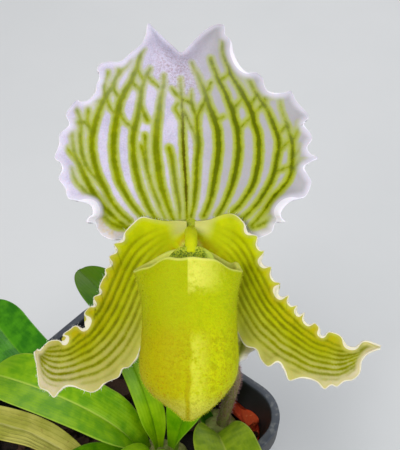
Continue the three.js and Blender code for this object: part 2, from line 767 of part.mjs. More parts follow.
// The reddish chips near the pot's right corner, a node of their own colour
const RED_CHIPS = [
  { at: [45.4, 16.6, 71.4], size: 12, turn: 150 },
  { at: [49.6, 12.4, 72.4], size: 13, turn: 110 },
  { at: [52, 6.6, 70.6], size: 10, turn: 60 },
];
function redChips(grow = 0) {
  const random = randomFrom(8);
  const solids = RED_CHIPS.map(({ at, size, turn }) =>
    solidOf(chip(random, size, grow).rotateZ(rad(turn)).translate(...at)),
  );
  return solids.reduce((a, b) => a.add(b)).intersect(insideOfPot(BARK_TOP + 10));
}

const CLEARING = 8; // bare bark round a crown, where the leaf feet come out
function clearOfGrowth({ at: [x, y], reach }, place) {
  return Math.hypot(place.x - x, place.y - y) > reach[0] + CLEARING;
}

function barkSolid(scapeFoot) {
  const random = randomFrom(21);
  let bark = insideOfPot(BARK_TOP);
  const reach = POT_TOP / 2;
  for (let x = -reach; x <= reach; x += CHIP_SPACING) {
    for (let y = -reach; y <= reach; y += CHIP_SPACING) {
      const shift = () => (random() - 0.5) * CHIP_SPACING * 0.5;
      const size = mix(13, 21, random());
      const lift = mix(-2.4, 1.6, random());
      const at = v3(x + shift(), y + shift(), BARK_TOP + lift).applyAxisAngle(v3(0, 0, 1), rad(POT_TURN));
      const piece = solidOf(chip(random, size).translate(at.x, at.y, at.z));
      const free = Object.values(GROWTHS).every((growth) => clearOfGrowth(growth, at));
      if (free) bark = bark.add(piece);
    }
  }
  bark = bark.intersect(insideOfPot(BARK_TOP + 7));
  for (const growth of Object.values(GROWTHS)) bark = bark.subtract(crownSolid(growth, SEAT_GAP));
  return bark.subtract(scapeFoot).subtract(redChips(RED_GAP));
}

// Assembly

const colours = {
  pot: { color: 0x16181a, roughness: 0.55, metalness: 0 },
  bark: { color: 0x4a2f20, roughness: 0.95, metalness: 0 },
  red_bark: { color: 0xa5391c, roughness: 0.9, metalness: 0 },
  crown: { color: 0x8f9a4c, roughness: 0.7, metalness: 0 },
  leaf: { color: 0x4f9a12, roughness: 0.42, metalness: 0 },
  withered: { color: 0xb9ad62, roughness: 0.6, metalness: 0 },
  scape: { color: 0x7d6a58, roughness: 0.8, metalness: 0 },
  dorsal: { color: 0xe4dfee, roughness: 0.6, metalness: 0 },
  petal: { color: 0xbcc046, roughness: 0.6, metalness: 0 },
  pouch: { color: 0xbfc21a, roughness: 0.5, metalness: 0 },
  column: { color: 0x9fc03a, roughness: 0.5, metalness: 0 },
};

const plant = new THREE.Group();
const bloom = new THREE.Group();
bloom.position.copy(BLOOM_AT);
bloom.rotation.x = rad(BLOOM_TILT);
plant.add(bloom);

function add(parent, name, geometry, colour) {
  const mesh = new THREE.Mesh(geometry, new THREE.MeshStandardMaterial(colours[colour]));
  mesh.name = name;
  parent.add(mesh);
}

// Bloom pieces, each trimmed clear of the receptacle that carries it
const receptacleRoom = solidOf(ball(RECEPTACLE.at, RECEPTACLE.radius, SEAT_GAP));
const bloomRoom = receptacleRoom.add(solidOf(columnNeck(SEAT_GAP)));
const column = columnSolid().subtract(receptacleRoom);
const trimmed = (geometry) => geometryFrom(mainBody(solidOf(geometry).subtract(bloomRoom)));
add(bloom, "dorsal_sepal", trimmed(dorsalSepal()), "dorsal");
add(bloom, "petal_left", trimmed(petal(LEFT_PETAL, false)), "petal");
add(bloom, "petal_right", trimmed(petal(RIGHT_PETAL, true)), "petal");
add(bloom, "synsepal", trimmed(synsepal()), "dorsal");
add(bloom, "pouch", trimmed(pouch()), "pouch");
add(bloom, "column", geometryFrom(mainBody(column)), "column");

const bloomTurn = new THREE.Quaternion().setFromEuler(bloom.rotation);
const toRoom = new THREE.Matrix4().compose(BLOOM_AT, bloomTurn, v3(1, 1, 1));
const ovaryStem = stem(OVARY_PATH, (s) => along(OVARY_RADIUS, s), 10, 10);
const ovaryHead = ball(RECEPTACLE.at, RECEPTACLE.radius).applyMatrix4(toRoom);
add(plant, "ovary", geometryFrom(solidOf(ovaryStem).add(solidOf(ovaryHead))), "scape");
add(plant, "bract", bract(), "crown");

const scapeStem = (grow) => solidOf(stem(SCAPE_PATH, (s) => mix(...SCAPE_RADIUS, s) + grow, 16, 10));
const crownRooms = Object.values(GROWTHS).map((growth) => crownSolid(growth, SEAT_GAP));
const clearOfCrowns = (solid) => mainBody(crownRooms.reduce((left, room) => left.subtract(room), solid));
add(plant, "scape", geometryFrom(clearOfCrowns(scapeStem(0))), "scape");

for (const [name, sizes] of Object.entries(LEAVES)) {
  const colour = name === "leaf_withered" ? "withered" : "leaf";
  add(plant, name, geometryFrom(clearOfCrowns(solidOf(leaf(sizes)))), colour);
}
for (const [name, growth] of Object.entries(GROWTHS)) {
  add(plant, `crown_${name}`, geometryFrom(crownSolid(growth)), "crown");
}
add(plant, "bark_mix", geometryFrom(mainBody(barkSolid(scapeStem(SEAT_GAP)))), "bark");
add(plant, "bark_red", geometryFrom(redChips()), "red_bark");
add(plant, "pot", geometryFrom(potSolid()), "pot");

export default plant;
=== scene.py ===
# %% [markdown]
# # A slipper orchid in bloom
# This lesson dresses a potted slipper orchid, Paphiopedilum fairrieanum. Plain solids of the plant
# and its pot come in first as a fixed frame. Each step after that makes one finer piece that stands
# in for one of those solids, in the same place and with the same form, and gives it a finish.
# The bloom is thin tissue with waved margins, so most pieces are grids of points worked out by
# formula. That keeps every wave where it belongs and lets a finish know where it is on the petal.

# %% The frame
import math

import bpy
import numpy as np
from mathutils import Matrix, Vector, noise


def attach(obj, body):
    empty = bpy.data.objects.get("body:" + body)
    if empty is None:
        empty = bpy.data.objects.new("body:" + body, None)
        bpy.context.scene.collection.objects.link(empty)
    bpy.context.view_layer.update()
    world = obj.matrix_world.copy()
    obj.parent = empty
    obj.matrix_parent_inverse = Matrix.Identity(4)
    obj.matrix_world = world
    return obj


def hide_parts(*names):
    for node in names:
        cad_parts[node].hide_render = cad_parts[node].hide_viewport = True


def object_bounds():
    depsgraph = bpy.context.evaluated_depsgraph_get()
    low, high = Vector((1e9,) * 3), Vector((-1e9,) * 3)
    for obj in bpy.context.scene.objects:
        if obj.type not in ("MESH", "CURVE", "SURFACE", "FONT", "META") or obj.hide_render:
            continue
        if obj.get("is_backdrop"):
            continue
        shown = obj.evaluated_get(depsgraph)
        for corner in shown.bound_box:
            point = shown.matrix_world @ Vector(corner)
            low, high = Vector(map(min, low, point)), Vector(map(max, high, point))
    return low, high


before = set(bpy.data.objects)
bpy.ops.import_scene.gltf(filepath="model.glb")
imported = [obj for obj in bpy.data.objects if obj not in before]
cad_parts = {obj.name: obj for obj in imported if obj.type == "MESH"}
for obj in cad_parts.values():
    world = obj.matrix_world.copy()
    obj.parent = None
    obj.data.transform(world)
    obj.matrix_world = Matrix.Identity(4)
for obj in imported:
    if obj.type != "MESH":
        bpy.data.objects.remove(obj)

MM = 0.001  # shapes below are worked out in millimetres, and Blender's unit is the metre
cad_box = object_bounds()
print("nodes:", len(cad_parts))
print("size, mm:", [round((high - low) / MM, 1) for low, high in zip(*cad_box)])

# %% [markdown]
# ## Camera
# The flower is seen from above and in front, square onto its face, so the camera looks down by 45
# degrees. A long lens at about the real distance gives the perspective of the picture: the pot far
# below the bloom looks small. The focal length was measured in pixels, and is turned into a lens
# for a 36 mm sensor.

# %% Camera
PICTURE_HEIGHT = 450  # pixels
FOCAL = 1104  # pixels
SENSOR = 36
LOOK_DOWN = 45
CAMERA_AWAY = 240
AIM = np.array([30, -63.85, 250])
toward_camera = np.array([0, -math.cos(math.radians(LOOK_DOWN)), math.sin(math.radians(LOOK_DOWN))])


def in_scene(name, data):
    """A new object of the scene, made of a camera, a lamp or a mesh."""
    thing = bpy.data.objects.new(name, data)
    bpy.context.scene.collection.objects.link(thing)
    return thing


camera = in_scene("camera", bpy.data.cameras.new("camera"))
camera.data.sensor_width = SENSOR
camera.data.lens = SENSOR * FOCAL / PICTURE_HEIGHT
camera.data.clip_start = 0.01
camera.location = (AIM + CAMERA_AWAY * toward_camera) * MM
camera.rotation_euler = (math.radians(90 - LOOK_DOWN), 0, 0)
bpy.context.scene.camera = camera
print("lens, mm:", round(camera.data.lens, 1))

# %% [markdown]
# ## Small tools for shapes
# Every grid below is worked out with a few small functions: a straight mix of two values, a smooth
# step, a number that runs through a list, a smooth curve through points, and a turn about an axis.
# The curve is the Catmull-Rom one, because it passes through the points it is given, so a margin
# can be drawn by naming where its lobes and bays are.

# %% Shape tools
def mix(a, b, t):
    return a + (b - a) * t


def smooth(t):
    t = np.clip(t, 0, 1)
    return t * t * (3 - 2 * t)


def unit(v):
    return v / (np.linalg.norm(v, axis=-1, keepdims=True) + 1e-12)


def along(values, share):
    """A number, or a row of numbers, that runs through a list as the share goes from 0 to 1."""
    values = np.asarray(values, float)
    place = np.clip(share, 0, 1) * (len(values) - 1)
    k = np.minimum(place.astype(int), len(values) - 2)
    part = place - k
    return mix(values[k], values[k + 1], 0.5 * smooth(part) + 0.5 * part)


def turned(points, angle, axis="z"):
    """Points turned about an axis through the origin."""
    points = np.array(points, float)
    first, second = {"x": (1, 2), "y": (2, 0), "z": (0, 1)}[axis]
    a, b = points[..., first].copy(), points[..., second].copy()
    points[..., first] = a * math.cos(angle) - b * math.sin(angle)
    points[..., second] = a * math.sin(angle) + b * math.cos(angle)
    return points


def all_round(count):
    """Angles at equal steps round a circle."""
    return np.linspace(0, 2 * np.pi, count, endpoint=False)


print("a turn by 90 degrees takes x to:", turned([1, 0, 0], math.pi / 2).round(6))

# %% Smooth curves
def curve_at(points, shares, evened=False):
    """Points of a smooth curve through points. Evened, its pace follows the gaps between them."""
    p = np.asarray(points, float)
    p = np.vstack([2 * p[0] - p[1], p, 2 * p[-1] - p[-2]])
    place = np.clip(np.asarray(shares, float), 0, 1) * (len(points) - 1)
    k = np.minimum(place.astype(int), len(points) - 2)
    t = (place - k)[..., None]
    before, start, end, after = p[k], p[k + 1], p[k + 2], p[k + 3]
    if evened:
        gap = lambda a, b: np.sqrt(np.linalg.norm(b - a, axis=-1, keepdims=True)) + 1e-6
    else:
        gap = lambda a, b: 1.0
    g0, g1, g2 = gap(before, start), gap(start, end), gap(end, after)
    leave = ((start - before) / g0 - (end - before) / (g0 + g1) + (end - start) / g1) * g1
    arrive = ((end - start) / g1 - (after - start) / (g1 + g2) + (after - end) / g2) * g1
    rise = end - start
    swing = 3 * rise - 2 * leave - arrive
    return start + t * (leave + t * (swing + t * (leave + arrive - 2 * rise)))


def run_of(line):
    """How far along a line each of its points lies."""
    return np.concatenate([[0], np.cumsum(np.linalg.norm(np.diff(line, axis=0), axis=1))])


def picked(line, run, want):
    """Places on a line at the wanted distances of a run along it."""
    return np.stack([np.interp(want, run, values) for values in line.T], 1)


def even_curve(points, count):
    """Points at equal steps along the curve."""
    fine = curve_at(points, np.linspace(0, 1, max(600, 30 * len(points))), evened=True)
    run = run_of(fine)
    return picked(fine, run, np.linspace(0, run[-1], count))


arch = even_curve([[0, 0], [1, 1], [2, 0]], 50)
print("an arch of three points is long:", run_of(arch)[-1].round(3))

# %% [markdown]
# ## From points to a piece
# A petal is thin but not paper-thin, and a mesh that will be printed or weighed has to be closed.
# A blade is therefore built from a grid of points: one skin half a thickness in front of it, one
# behind, and a strip of faces round the border. A tube and a round body are rings joined side to
# side. A solidify modifier would do for the blade too, but here the finish needs to know which
# side each point is on, so the skins are made by hand.

# %% Pieces
def make_piece(name, points, faces, node, paint=None, marks=None, cut=None):
    """A mesh piece in millimetres that stands for a CAD node. Marks are numbers kept per point."""
    mesh = bpy.data.meshes.new(name)
    mesh.from_pydata((np.asarray(points) * MM).tolist(), [], faces)
    for key, values in (marks or {}).items():
        layer = mesh.attributes.new(key, "FLOAT", "POINT")
        layer.data.foreach_set("value", np.asarray(values, np.float32).ravel())
    mesh.polygons.foreach_set("use_smooth", [True] * len(mesh.polygons))
    if cut:
        mesh.set_sharp_from_angle(angle=math.radians(cut))
    if paint:
        mesh.materials.append(paint)
    piece = in_scene(name, mesh)
    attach(piece, "root")
    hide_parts(node)
    print(name, "faces:", len(faces))
    return piece


# %% Blades
def grid_quads(rows, columns, closed=False):
    """Faces of a grid of points, rows by columns; closed joins the last column to the first."""
    wide = columns if closed else columns - 1
    j, i = np.meshgrid(np.arange(rows - 1), np.arange(wide), indexing="ij")
    near = (i + 1) % columns
    corners = [j * columns + i, j * columns + near, (j + 1) * columns + near, (j + 1) * columns + i]
    return np.stack([c.ravel() for c in corners], 1)


def normals_of(grid):
    return unit(np.cross(np.gradient(grid, axis=1), np.gradient(grid, axis=0)))


def blade(grid, thickness, marks):
    """Points, faces and marks of a closed blade about a grid of points."""
    rows, columns = grid.shape[:2]
    half = normals_of(grid) * (np.broadcast_to(thickness, (rows, columns)) / 2)[..., None]
    points = np.concatenate([(grid + half).reshape(-1, 3), (grid - half).reshape(-1, 3)])
    front = grid_quads(rows, columns)
    behind = rows * columns
    first, last = np.arange(columns), (rows - 1) * columns + np.arange(columns)[::-1]
    right = np.arange(1, rows - 1) * columns + columns - 1
    left = (np.arange(1, rows - 1) * columns)[::-1]
    border = np.concatenate([first, right, last, left])
    ahead = np.roll(border, -1)
    rim = np.stack([border, border + behind, ahead + behind, ahead], 1)
    faces = np.concatenate([front, front[:, ::-1] + behind, rim]).tolist()
    both = {key: np.tile(np.asarray(values).ravel(), 2) for key, values in marks.items()}
    both["face"] = np.repeat([1.0, 0.0], behind)
    return points, faces, both


def blade_piece(node, grid, thickness, paint, marks, placed=np.asarray):
    """The fine piece for a node, its points placed in the room's frame by a function."""
    points, faces, marks = blade(grid, thickness, marks)
    make_piece(node + "_fine", placed(points), faces, node, paint, marks)


def place_marks(share, side):
    """Marks for where on a grid a point is: its share of the length and its place across."""
    wide = np.ones((len(share), len(side)))
    return {"share": wide * share[:, None], "side": wide * side}


print("faces between 3 rows of 4 points:", len(grid_quads(3, 4)))

# %% Rings
def rings_body(rings):
    """Points and faces of a closed body from rings of equal length, capped at both ends."""
    rings = np.asarray(rings)
    rows, columns = rings.shape[:2]
    faces = grid_quads(rows, columns, closed=True).tolist()
    faces.append(list(range(columns))[::-1])
    faces.append([(rows - 1) * columns + i for i in range(columns)])
    return rings.reshape(-1, 3), faces


def tube_rings(path, radius, sides, ribs=0, rib_depth=0.0):
    """Rings along a path, turned as little as the path allows from ring to ring."""
    ahead = unit(np.gradient(path, axis=0))
    side = unit(np.cross(ahead[0], [0.3, 1, 0.2]))
    angles = all_round(sides)
    swell = 1 + rib_depth * np.cos(ribs * angles)
    rings = []
    for centre, way, size in zip(path, ahead, radius):
        side = unit(side - way * np.dot(side, way))
        other = np.cross(way, side)
        around = np.outer(np.cos(angles), side) + np.outer(np.sin(angles), other)
        rings.append(centre + around * (size * swell)[:, None])
    return np.array(rings)

# %% [markdown]
# ## Hairs
# The margins carry white hairs about a millimetre long, the pouch and the stalk a short fuzz.
# Hair curves would be quicker to comb, but they don't survive an export, so each hair is a real
# three-sided taper that bends once. Their lengths, leanings and bends come from seeded numbers.

# %% Hairs
HAIR_BEND = 0.35  # how far its tip is pushed aside, as a share of its length
HAIR_SAG = 0.3  # how far its middle goes with the tip
HAIR_MIDDLE = 0.55  # where it bends
HAIR_TAPER = 0.7  # its radius there, as a share of that at the root
HAIR_FACES = [(2, 1, 0), (0, 1, 4, 3), (1, 2, 5, 4), (2, 0, 3, 5), (3, 4, 6), (4, 5, 6), (5, 3, 6)]
HAIR_POINTS = 7


def hair_body(roots, ways, lengths, radius, rng):
    """Points and faces of many three-sided hairs, tapered and bent once."""
    count = len(roots)
    ways = unit(ways)
    droop = unit(rng.normal(size=(count, 3))) * (HAIR_BEND * lengths)[:, None]
    side = unit(np.cross(ways, rng.normal(size=(count, 3))))
    other = np.cross(ways, side)
    middle = roots + ways * (HAIR_MIDDLE * lengths)[:, None] + droop * HAIR_SAG
    tip = roots + ways * lengths[:, None] + droop
    rings = []
    for centre, size in ((roots, radius), (middle, radius * HAIR_TAPER)):
        for angle in (0, 2 * math.pi / 3, 4 * math.pi / 3):
            rings.append(centre + (side * math.cos(angle) + other * math.sin(angle)) * size)
    points = np.stack([*rings, tip], 1).reshape(-1, 3)
    faces = [tuple(HAIR_POINTS * k + c for c in face) for k in range(count) for face in HAIR_FACES]
    return points, faces


def joined(*bodies):
    """Several bodies as one list of points and one list of faces."""
    points, faces, start = [], [], 0
    for body_points, body_faces in bodies:
        points.append(body_points)
        faces += [[start + c for c in face] for face in body_faces]
        start += len(body_points)
    return np.concatenate(points), faces


print("points and faces of one hair:", HAIR_POINTS, len(HAIR_FACES))

# %% [markdown]
# ## Shader maths
# A finish is a net of nodes. Written out one node at a time it is hard to read, so a small class
# wraps a socket and lets sums and products be written as such: `1 - vein * 0.5` adds two Math
# nodes. Every other node comes from one method that takes its type, its settings and its inputs.
# Most finishes are a ground colour with coats over it, like glazes, each laid on by its own mask.

# %% Sums on sockets
class Wire:
    """One output socket of a finish. Arithmetic on it adds Math nodes."""

    def __init__(self, finish, socket):
        self.finish = finish
        self.socket = socket

    def math(self, operation, *values):
        inputs = dict(enumerate(values))
        return self.finish.node("ShaderNodeMath", {"operation": operation}, inputs)

    def __add__(self, other):
        return self.math("ADD", self, other)

    __radd__ = __add__

    def __sub__(self, other):
        return self.math("SUBTRACT", self, other)

    def __rsub__(self, other):
        return self.math("SUBTRACT", other, self)

    def __mul__(self, other):
        return self.math("MULTIPLY", self, other)

    __rmul__ = __mul__

    def __abs__(self):
        return self.math("ABSOLUTE", self)

    def wave(self):
        return self.math("SINE", self)

    def step(self, low, high):
        """0 below low, 1 above high and smooth in between; low may be the larger one."""
        inputs = {0: self, 1: min(low, high), 2: max(low, high)}
        if low > high:
            inputs |= {3: 1.0, 4: 0.0}
        return self.finish.node("ShaderNodeMapRange", {"interpolation_type": "SMOOTHSTEP"}, inputs)


print("reflected sums on a socket:", [name for name in vars(Wire) if name.startswith("__r")])

# %% [markdown]
# The second class is the finish itself. Besides the method for nodes it has short names for what
# the pieces here need: a mark kept on the mesh, noise in millimetres, a mix of two colours, a pile
# of coats, and the three sockets that end every finish.

# %% Finishes
class Finish:
    """A material being made."""

    def __init__(self, name, shine=0.5, through=0.0, depth=1.0):
        """A share of the light goes through the skin, to a depth in millimetres."""
        self.material = bpy.data.materials.new(name)
        self.material.use_nodes = True
        self.tree = self.material.node_tree
        self.shader = self.tree.nodes["Principled BSDF"]
        self.feed({"Specular IOR Level": shine})
        self.feed({"Subsurface Weight": through, "Subsurface Scale": depth * MM})

    def node(self, kind, settings=None, inputs=None, output=0):
        """A node by its type, its settings, what its sockets are fed and which output counts."""
        made = self.tree.nodes.new(kind)
        for key, value in (settings or {}).items():
            setattr(made, key, value)
        for key, value in (inputs or {}).items():
            if isinstance(value, Wire):
                self.tree.links.new(value.socket, made.inputs[key])
            else:
                made.inputs[key].default_value = value
        return Wire(self, made.outputs[output])

    def feed(self, sockets):
        """Values or wires for the shader's own sockets."""
        for key, value in sockets.items():
            if isinstance(value, Wire):
                self.tree.links.new(value.socket, self.shader.inputs[key])
            else:
                self.shader.inputs[key].default_value = value

    def mark(self, name):
        """A number kept on the mesh's points."""
        return self.node("ShaderNodeAttribute", {"attribute_name": name}, output="Fac")

    def place(self):
        """Where the surface is, in millimetres."""
        metres = self.node("ShaderNodeTexCoord", output="Object")
        inputs = {0: metres, "Scale": 1 / MM}
        return self.node("ShaderNodeVectorMath", {"operation": "SCALE"}, inputs)

    def noise(self, size, detail=2.0, rough=0.5, place=None):
        """Noise of 0 to 1 whose blots are about size millimetres across."""
        inputs = {"Vector": place or self.place(), "Scale": 1 / size, "Detail": detail}
        return self.node("ShaderNodeTexNoise", None, inputs | {"Roughness": rough})

    def tints(self, factor, first, second):
        """A colour between two, each a wire or red, green and blue as a paint chart gives them."""
        first, second = (c if isinstance(c, Wire) else linear_light(c) for c in (first, second))
        inputs = {"Factor": factor, 6: first, 7: second}
        return self.node("ShaderNodeMix", {"data_type": "RGBA"}, inputs, output=2)

    def coats(self, ground, *layers):
        """A ground colour with coats laid over it in turn, each a mask and a colour."""
        for mask, colour in layers:
            ground = self.tints(mask, ground, colour)
        return ground

    def finished(self, colour, roughness, relief=None, depth=0.0):
        """The material, fed with a colour, a roughness and a relief of a depth in millimetres."""
        self.feed({"Base Color": colour, "Roughness": roughness})
        if relief:
            inputs = {"Height": relief, "Distance": depth * MM, "Strength": 1.0}
            self.feed({"Normal": self.node("ShaderNodeBump", None, inputs)})
        return self.material


print("what a finish can do:", [name for name in vars(Finish) if name[0] != "_"])

# %% Colours
def linear_light(colour):
    """Red, green and blue from 0 to 255, turned into the linear light that shaders use."""
    parts = [c / 255 for c in colour]
    return (*(c / 12.92 if c <= 0.04045 else ((c + 0.055) / 1.055) ** 2.4 for c in parts), 1.0)


def two_tone(name, first, second, size, roughness, shine=0.5, detail=2.0):
    """A plain finish of two tones in soft blots of a size in millimetres."""
    paint = Finish(name, shine)
    return paint.finished(paint.tints(paint.noise(size, detail), first, second), roughness)


print("a mid grey in linear light:", round(linear_light((128, 128, 128))[0], 3))

# %% [markdown]
# ## Light and floor
# A flower photographed in a studio gets one large soft light from the upper left, a weaker one from
# the right that opens the shadows, a faint one from behind that catches the edges, and pale
# surroundings. The floor is a pale grey, a little darker than the white margins.

# %% Light and floor
BLOOM_MIDDLE = (28, -64, 250)
LIGHTS = {  # place, size, watts, colour
    "key_light": ((-250, -520, 800), 420, 5.2, (1.0, 0.985, 0.96)),
    "fill_light": ((560, -380, 420), 500, 2.2, (0.94, 0.97, 1.0)),
    "rim_light": ((150, 620, 520), 400, 1.4, (1.0, 1.0, 1.0)),
}
STUDIO_COLOUR = (0.86, 0.88, 0.9, 1)
STUDIO_STRENGTH = 0.38
FLOOR_REACH = 3000

for name, (at, size, watts, colour) in LIGHTS.items():
    lamp = bpy.data.lights.new(name, "AREA")
    lamp.size = size * MM
    lamp.energy = watts
    lamp.color = colour
    holder = in_scene(name, lamp)
    holder.location = Vector(at) * MM
    holder.rotation_euler = (Vector(BLOOM_MIDDLE) - Vector(at)).to_track_quat("-Z", "Y").to_euler()
print("lights:", len(LIGHTS))

world = bpy.data.worlds.new("studio")
world.use_nodes = True
surroundings = world.node_tree.nodes["Background"].inputs
surroundings["Color"].default_value = STUDIO_COLOUR
surroundings["Strength"].default_value = STUDIO_STRENGTH
bpy.context.scene.world = world
bpy.context.scene.view_settings.view_transform = "Standard"

floor_mesh = bpy.data.meshes.new("floor")
far = FLOOR_REACH * MM
corners = [(-far, -far, 0), (far, -far, 0), (far, far, 0), (-far, far, 0)]
floor_mesh.from_pydata(corners, [], [(0, 1, 2, 3)])
floor_paint = two_tone("floor_paint", (222, 224, 226), (229, 230, 232), size=60, roughness=0.85,
                       detail=4.0)
floor_mesh.materials.append(floor_paint)
floor = in_scene("floor", floor_mesh)
floor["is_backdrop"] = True

# %% [markdown]
# ## The bloom's own frame
# The flower looks up at 45 degrees. Its pieces are easiest to draw face on, so they have a frame of
# their own, as in the solids: x to the right, y up towards the dorsal sepal, z out of the face.

# %% Bloom frame
BLOOM_AT = np.array([28, -64, 249.5])
BLOOM_TILT = math.radians(45)
bloom_up = np.array([0, math.cos(BLOOM_TILT), math.sin(BLOOM_TILT)])
bloom_out = np.array([0, -math.sin(BLOOM_TILT), math.cos(BLOOM_TILT)])
BLOOM_AXES = np.array([[1, 0, 0], bloom_up, bloom_out])


def from_bloom(points):
    """Points of the bloom's frame in the room's frame."""
    return BLOOM_AT + np.asarray(points, float) @ BLOOM_AXES


print("a point 10 mm in front of the face lies at:", from_bloom([0, 0, 10]).round(1))

# %% [markdown]
# ## Veins
# Green veins run through the white dorsal sepal and the yellow petals. They could be painted on an
# image, but drawn as curves on the surface they stay sharp at any size. Each vein is a row of
# samples, and each point of the mesh learns how far it is from the nearest of them. Where veins
# meet, their distances flow together into one soft fork. The shader turns the distance into a line
# with a soft edge. A margin's waves are spread over the tissue beside it in much the same way.

# %% Veins on a surface
VEIN_STEP = 0.25  # spacing of the samples along a vein
VEIN_FAR = 3.0  # beyond this a vein is no longer looked for
VEIN_MELT = 0.22  # how softly two veins flow together where they meet
VEIN_FOOT = 0.6  # its width at the foot, as a share of the full one
WEAK_END = (0.2, 0.4)  # width and strength of the weakest end
MEAN_WIDTH, MEAN_GROWTH = 0.45, 0.5  # how wide the mean is at a margin, and wider per mm inwards
PLACES_AT_ONCE = 4000


def vein_marks(places, veins):
    """For each place on a surface, the distance to the veins' border and their strength.

    A vein is (half width, strength at its foot, strength at its end, [points]). It is narrow at its
    foot, and a weak end is drawn out thin."""
    pull, weight = np.full(len(places), 1e-9), np.zeros(len(places))
    for half, foot, end, points in veins:
        rough_length = np.linalg.norm(np.diff(points, axis=0), axis=1).sum()
        count = max(5, int(rough_length / VEIN_STEP))
        line, share = even_curve(points, count), np.linspace(0, 1, count)
        thin, weak = (mix(least, 1, end) for least in WEAK_END)
        taper = mix(VEIN_FOOT, 1, smooth(share / 0.3)) * mix(1, thin, smooth((share - 0.6) / 0.4))
        strength = mix(foot, weak, smooth((share - 0.5) / 0.5))
        near = np.all((places > line.min(0) - VEIN_FAR) & (places < line.max(0) + VEIN_FAR), axis=1)
        gaps = np.linalg.norm(places[near][:, None] - line[None], axis=2)
        nearest = gaps.argmin(1)
        inside = np.exp((half * taper[nearest] - gaps.min(1)) / VEIN_MELT)
        pull[near] += inside
        weight[near] += inside * strength[nearest]
    return -VEIN_MELT * np.log(pull), weight / pull


def margin_curl(places, margin, reach):
    """For each place, its distance to the margin and how far the margin's wave lifts it there.

    Near the margin the wave of the nearest few margin points counts, further in a wider mean."""
    distance, lift = np.empty(len(places)), np.empty(len(places))
    for start in range(0, len(places), PLACES_AT_ONCE):
        part = slice(start, start + PLACES_AT_ONCE)
        squares = ((places[part, None, :] - margin[None, :, :2]) ** 2).sum(2)
        nearest = squares.min(1)
        distance[part] = np.sqrt(nearest)
        spread = MEAN_WIDTH + MEAN_GROWTH * distance[part]
        weight = np.exp((nearest[:, None] - squares) / (2 * spread ** 2)[:, None])
        lift[part] = (weight * margin[:, 2]).sum(1) / weight.sum(1)
    return distance, lift * smooth(1 - distance / reach) ** 1.3


middle_gap, _ = vein_marks(np.array([[0.0, 2.0]]), [(0.5, 1, 1, [[-5, 0], [0, 0], [5, 0]])])
print("2 mm above a vein 1 mm wide, its border is at, mm:", middle_gap.round(2))

# %% [markdown]
# ## Dorsal sepal
# The broad white sepal at the top ends in two peaks with a notch between them. Its margin is a
# closed chain of lobes and bays, and at both lower sides it rolls forward. The grid is a fan: each
# column runs from the foot to a point of the margin, so every lobe gets its own columns, and the
# wave of the margin fades inwards. Sculpting would give it too, but not where the solid has it.

# %% Dorsal sepal shape
DORSAL_MARGIN = [  # across, up, wave out of the face
    [-3, -0.6, 0], [-8, -2.4, 0], [-13.4, -2.9, -0.4], [-15.2, -2.6, 0], [-16.7, -2.8, 0.8],
    [-19.1, -1.9, 0], [-20.3, -0.4, 0.6], [-20.8, 0.8, 1.6], [-22.4, 1.1, 3], [-21.9, 2.1, 3.6],
    [-21, 2.8, 4], [-21.2, 4.3, 4], [-22.5, 5.2, 2.6], [-24.9, 5.8, 0.6], [-26.6, 6.3, 0],
    [-27.3, 8.5, 0], [-28.7, 10.6, -0.6], [-27.8, 12.5, 1.4], [-28.2, 13.8, 0.8],
    [-29.6, 15.1, -0.8], [-28.6, 17.8, 1.2], [-28.5, 20.2, 0], [-26.5, 22.3, 1], [-27.4, 24.8, -1],
    [-25.1, 27.9, -0.8], [-24, 27.5, 0.6], [-22.3, 27.9, 0.9], [-21, 29.6, 0.8],
    [-20.8, 31.4, -0.2], [-20.3, 32.5, 0.6], [-20.3, 33.7, 0.4], [-20.8, 35, -0.4], [-20, 36.1, 0],
    [-18.3, 36.6, 0.4], [-15.8, 36.6, 0.8], [-13.4, 38.8, 0], [-11.2, 41, -1], [-10.2, 43.3, -1.4],
    [-9.8, 46.1, -2], [-8, 44.6, -2.6], [-6.5, 43.2, -3], [-4.2, 41.1, -3.8], [-2.3, 39.6, -4.4],
    [-0.5, 41.1, -3.4], [2.4, 43.9, -2.4], [4.2, 45.1, -1.6], [5.8, 45.7, -1], [7.4, 45.3, -0.4],
    [7.7, 42.9, 0.6], [8.9, 41.4, 1.2], [9.4, 38.6, 2.4], [10.8, 35.5, 2.4], [12.4, 34.1, 1.6],
    [14.5, 34.2, 0], [15.9, 33, -0.6], [16.2, 31.2, 0.6], [17.1, 29.8, 1.4], [18.8, 29.4, 1.4],
    [20.6, 29.6, 0.4], [22, 30, -0.8], [23.2, 27.7, 0], [25.8, 24.2, -0.4], [24.6, 22.4, 1.4],
    [26, 20.6, 0], [26.5, 19.4, -0.4], [25.3, 17.1, 1], [26, 16, 0.6], [27.7, 15.1, -1],
    [26.1, 14.2, 0.4], [24.6, 12.9, 1.6], [25.3, 11.5, 0.6], [26.2, 9.9, -0.6], [25.7, 7.9, -0.4],
    [24.8, 6.6, 0], [23.6, 6.2, 0.8], [21.9, 5.7, 2.4], [20.3, 4.6, 3.8], [19.3, 3, 4.2],
    [19.6, 1.9, 3.8], [20.4, 1.2, 3], [18.6, 1, 1.4], [18.1, 0.4, 0.6], [17.8, -0.9, 0],
    [15.4, -2.2, -0.4], [14, -2.5, 0.4], [12.8, -2.4, 0.4], [9.6, -2.2, 0], [6, -1.6, 0],
    [3, -0.6, 0],
]
DORSAL_FOOT = 2.6  # half the width of its foot
DORSAL_RISE = 0.4  # how high the foot stands
DORSAL_OUT = -1.2  # where the foot lies out of the face
DORSAL_CUP = 0.0028  # how its sides bend forward
DORSAL_LEAN = 0.0032  # how its top leans back
GROOVE_DEPTH, GROOVE_HALF = 0.5, 1.6
MARGIN_POINTS = 1600
FAN_START = 0.03  # a fan can't start in a point
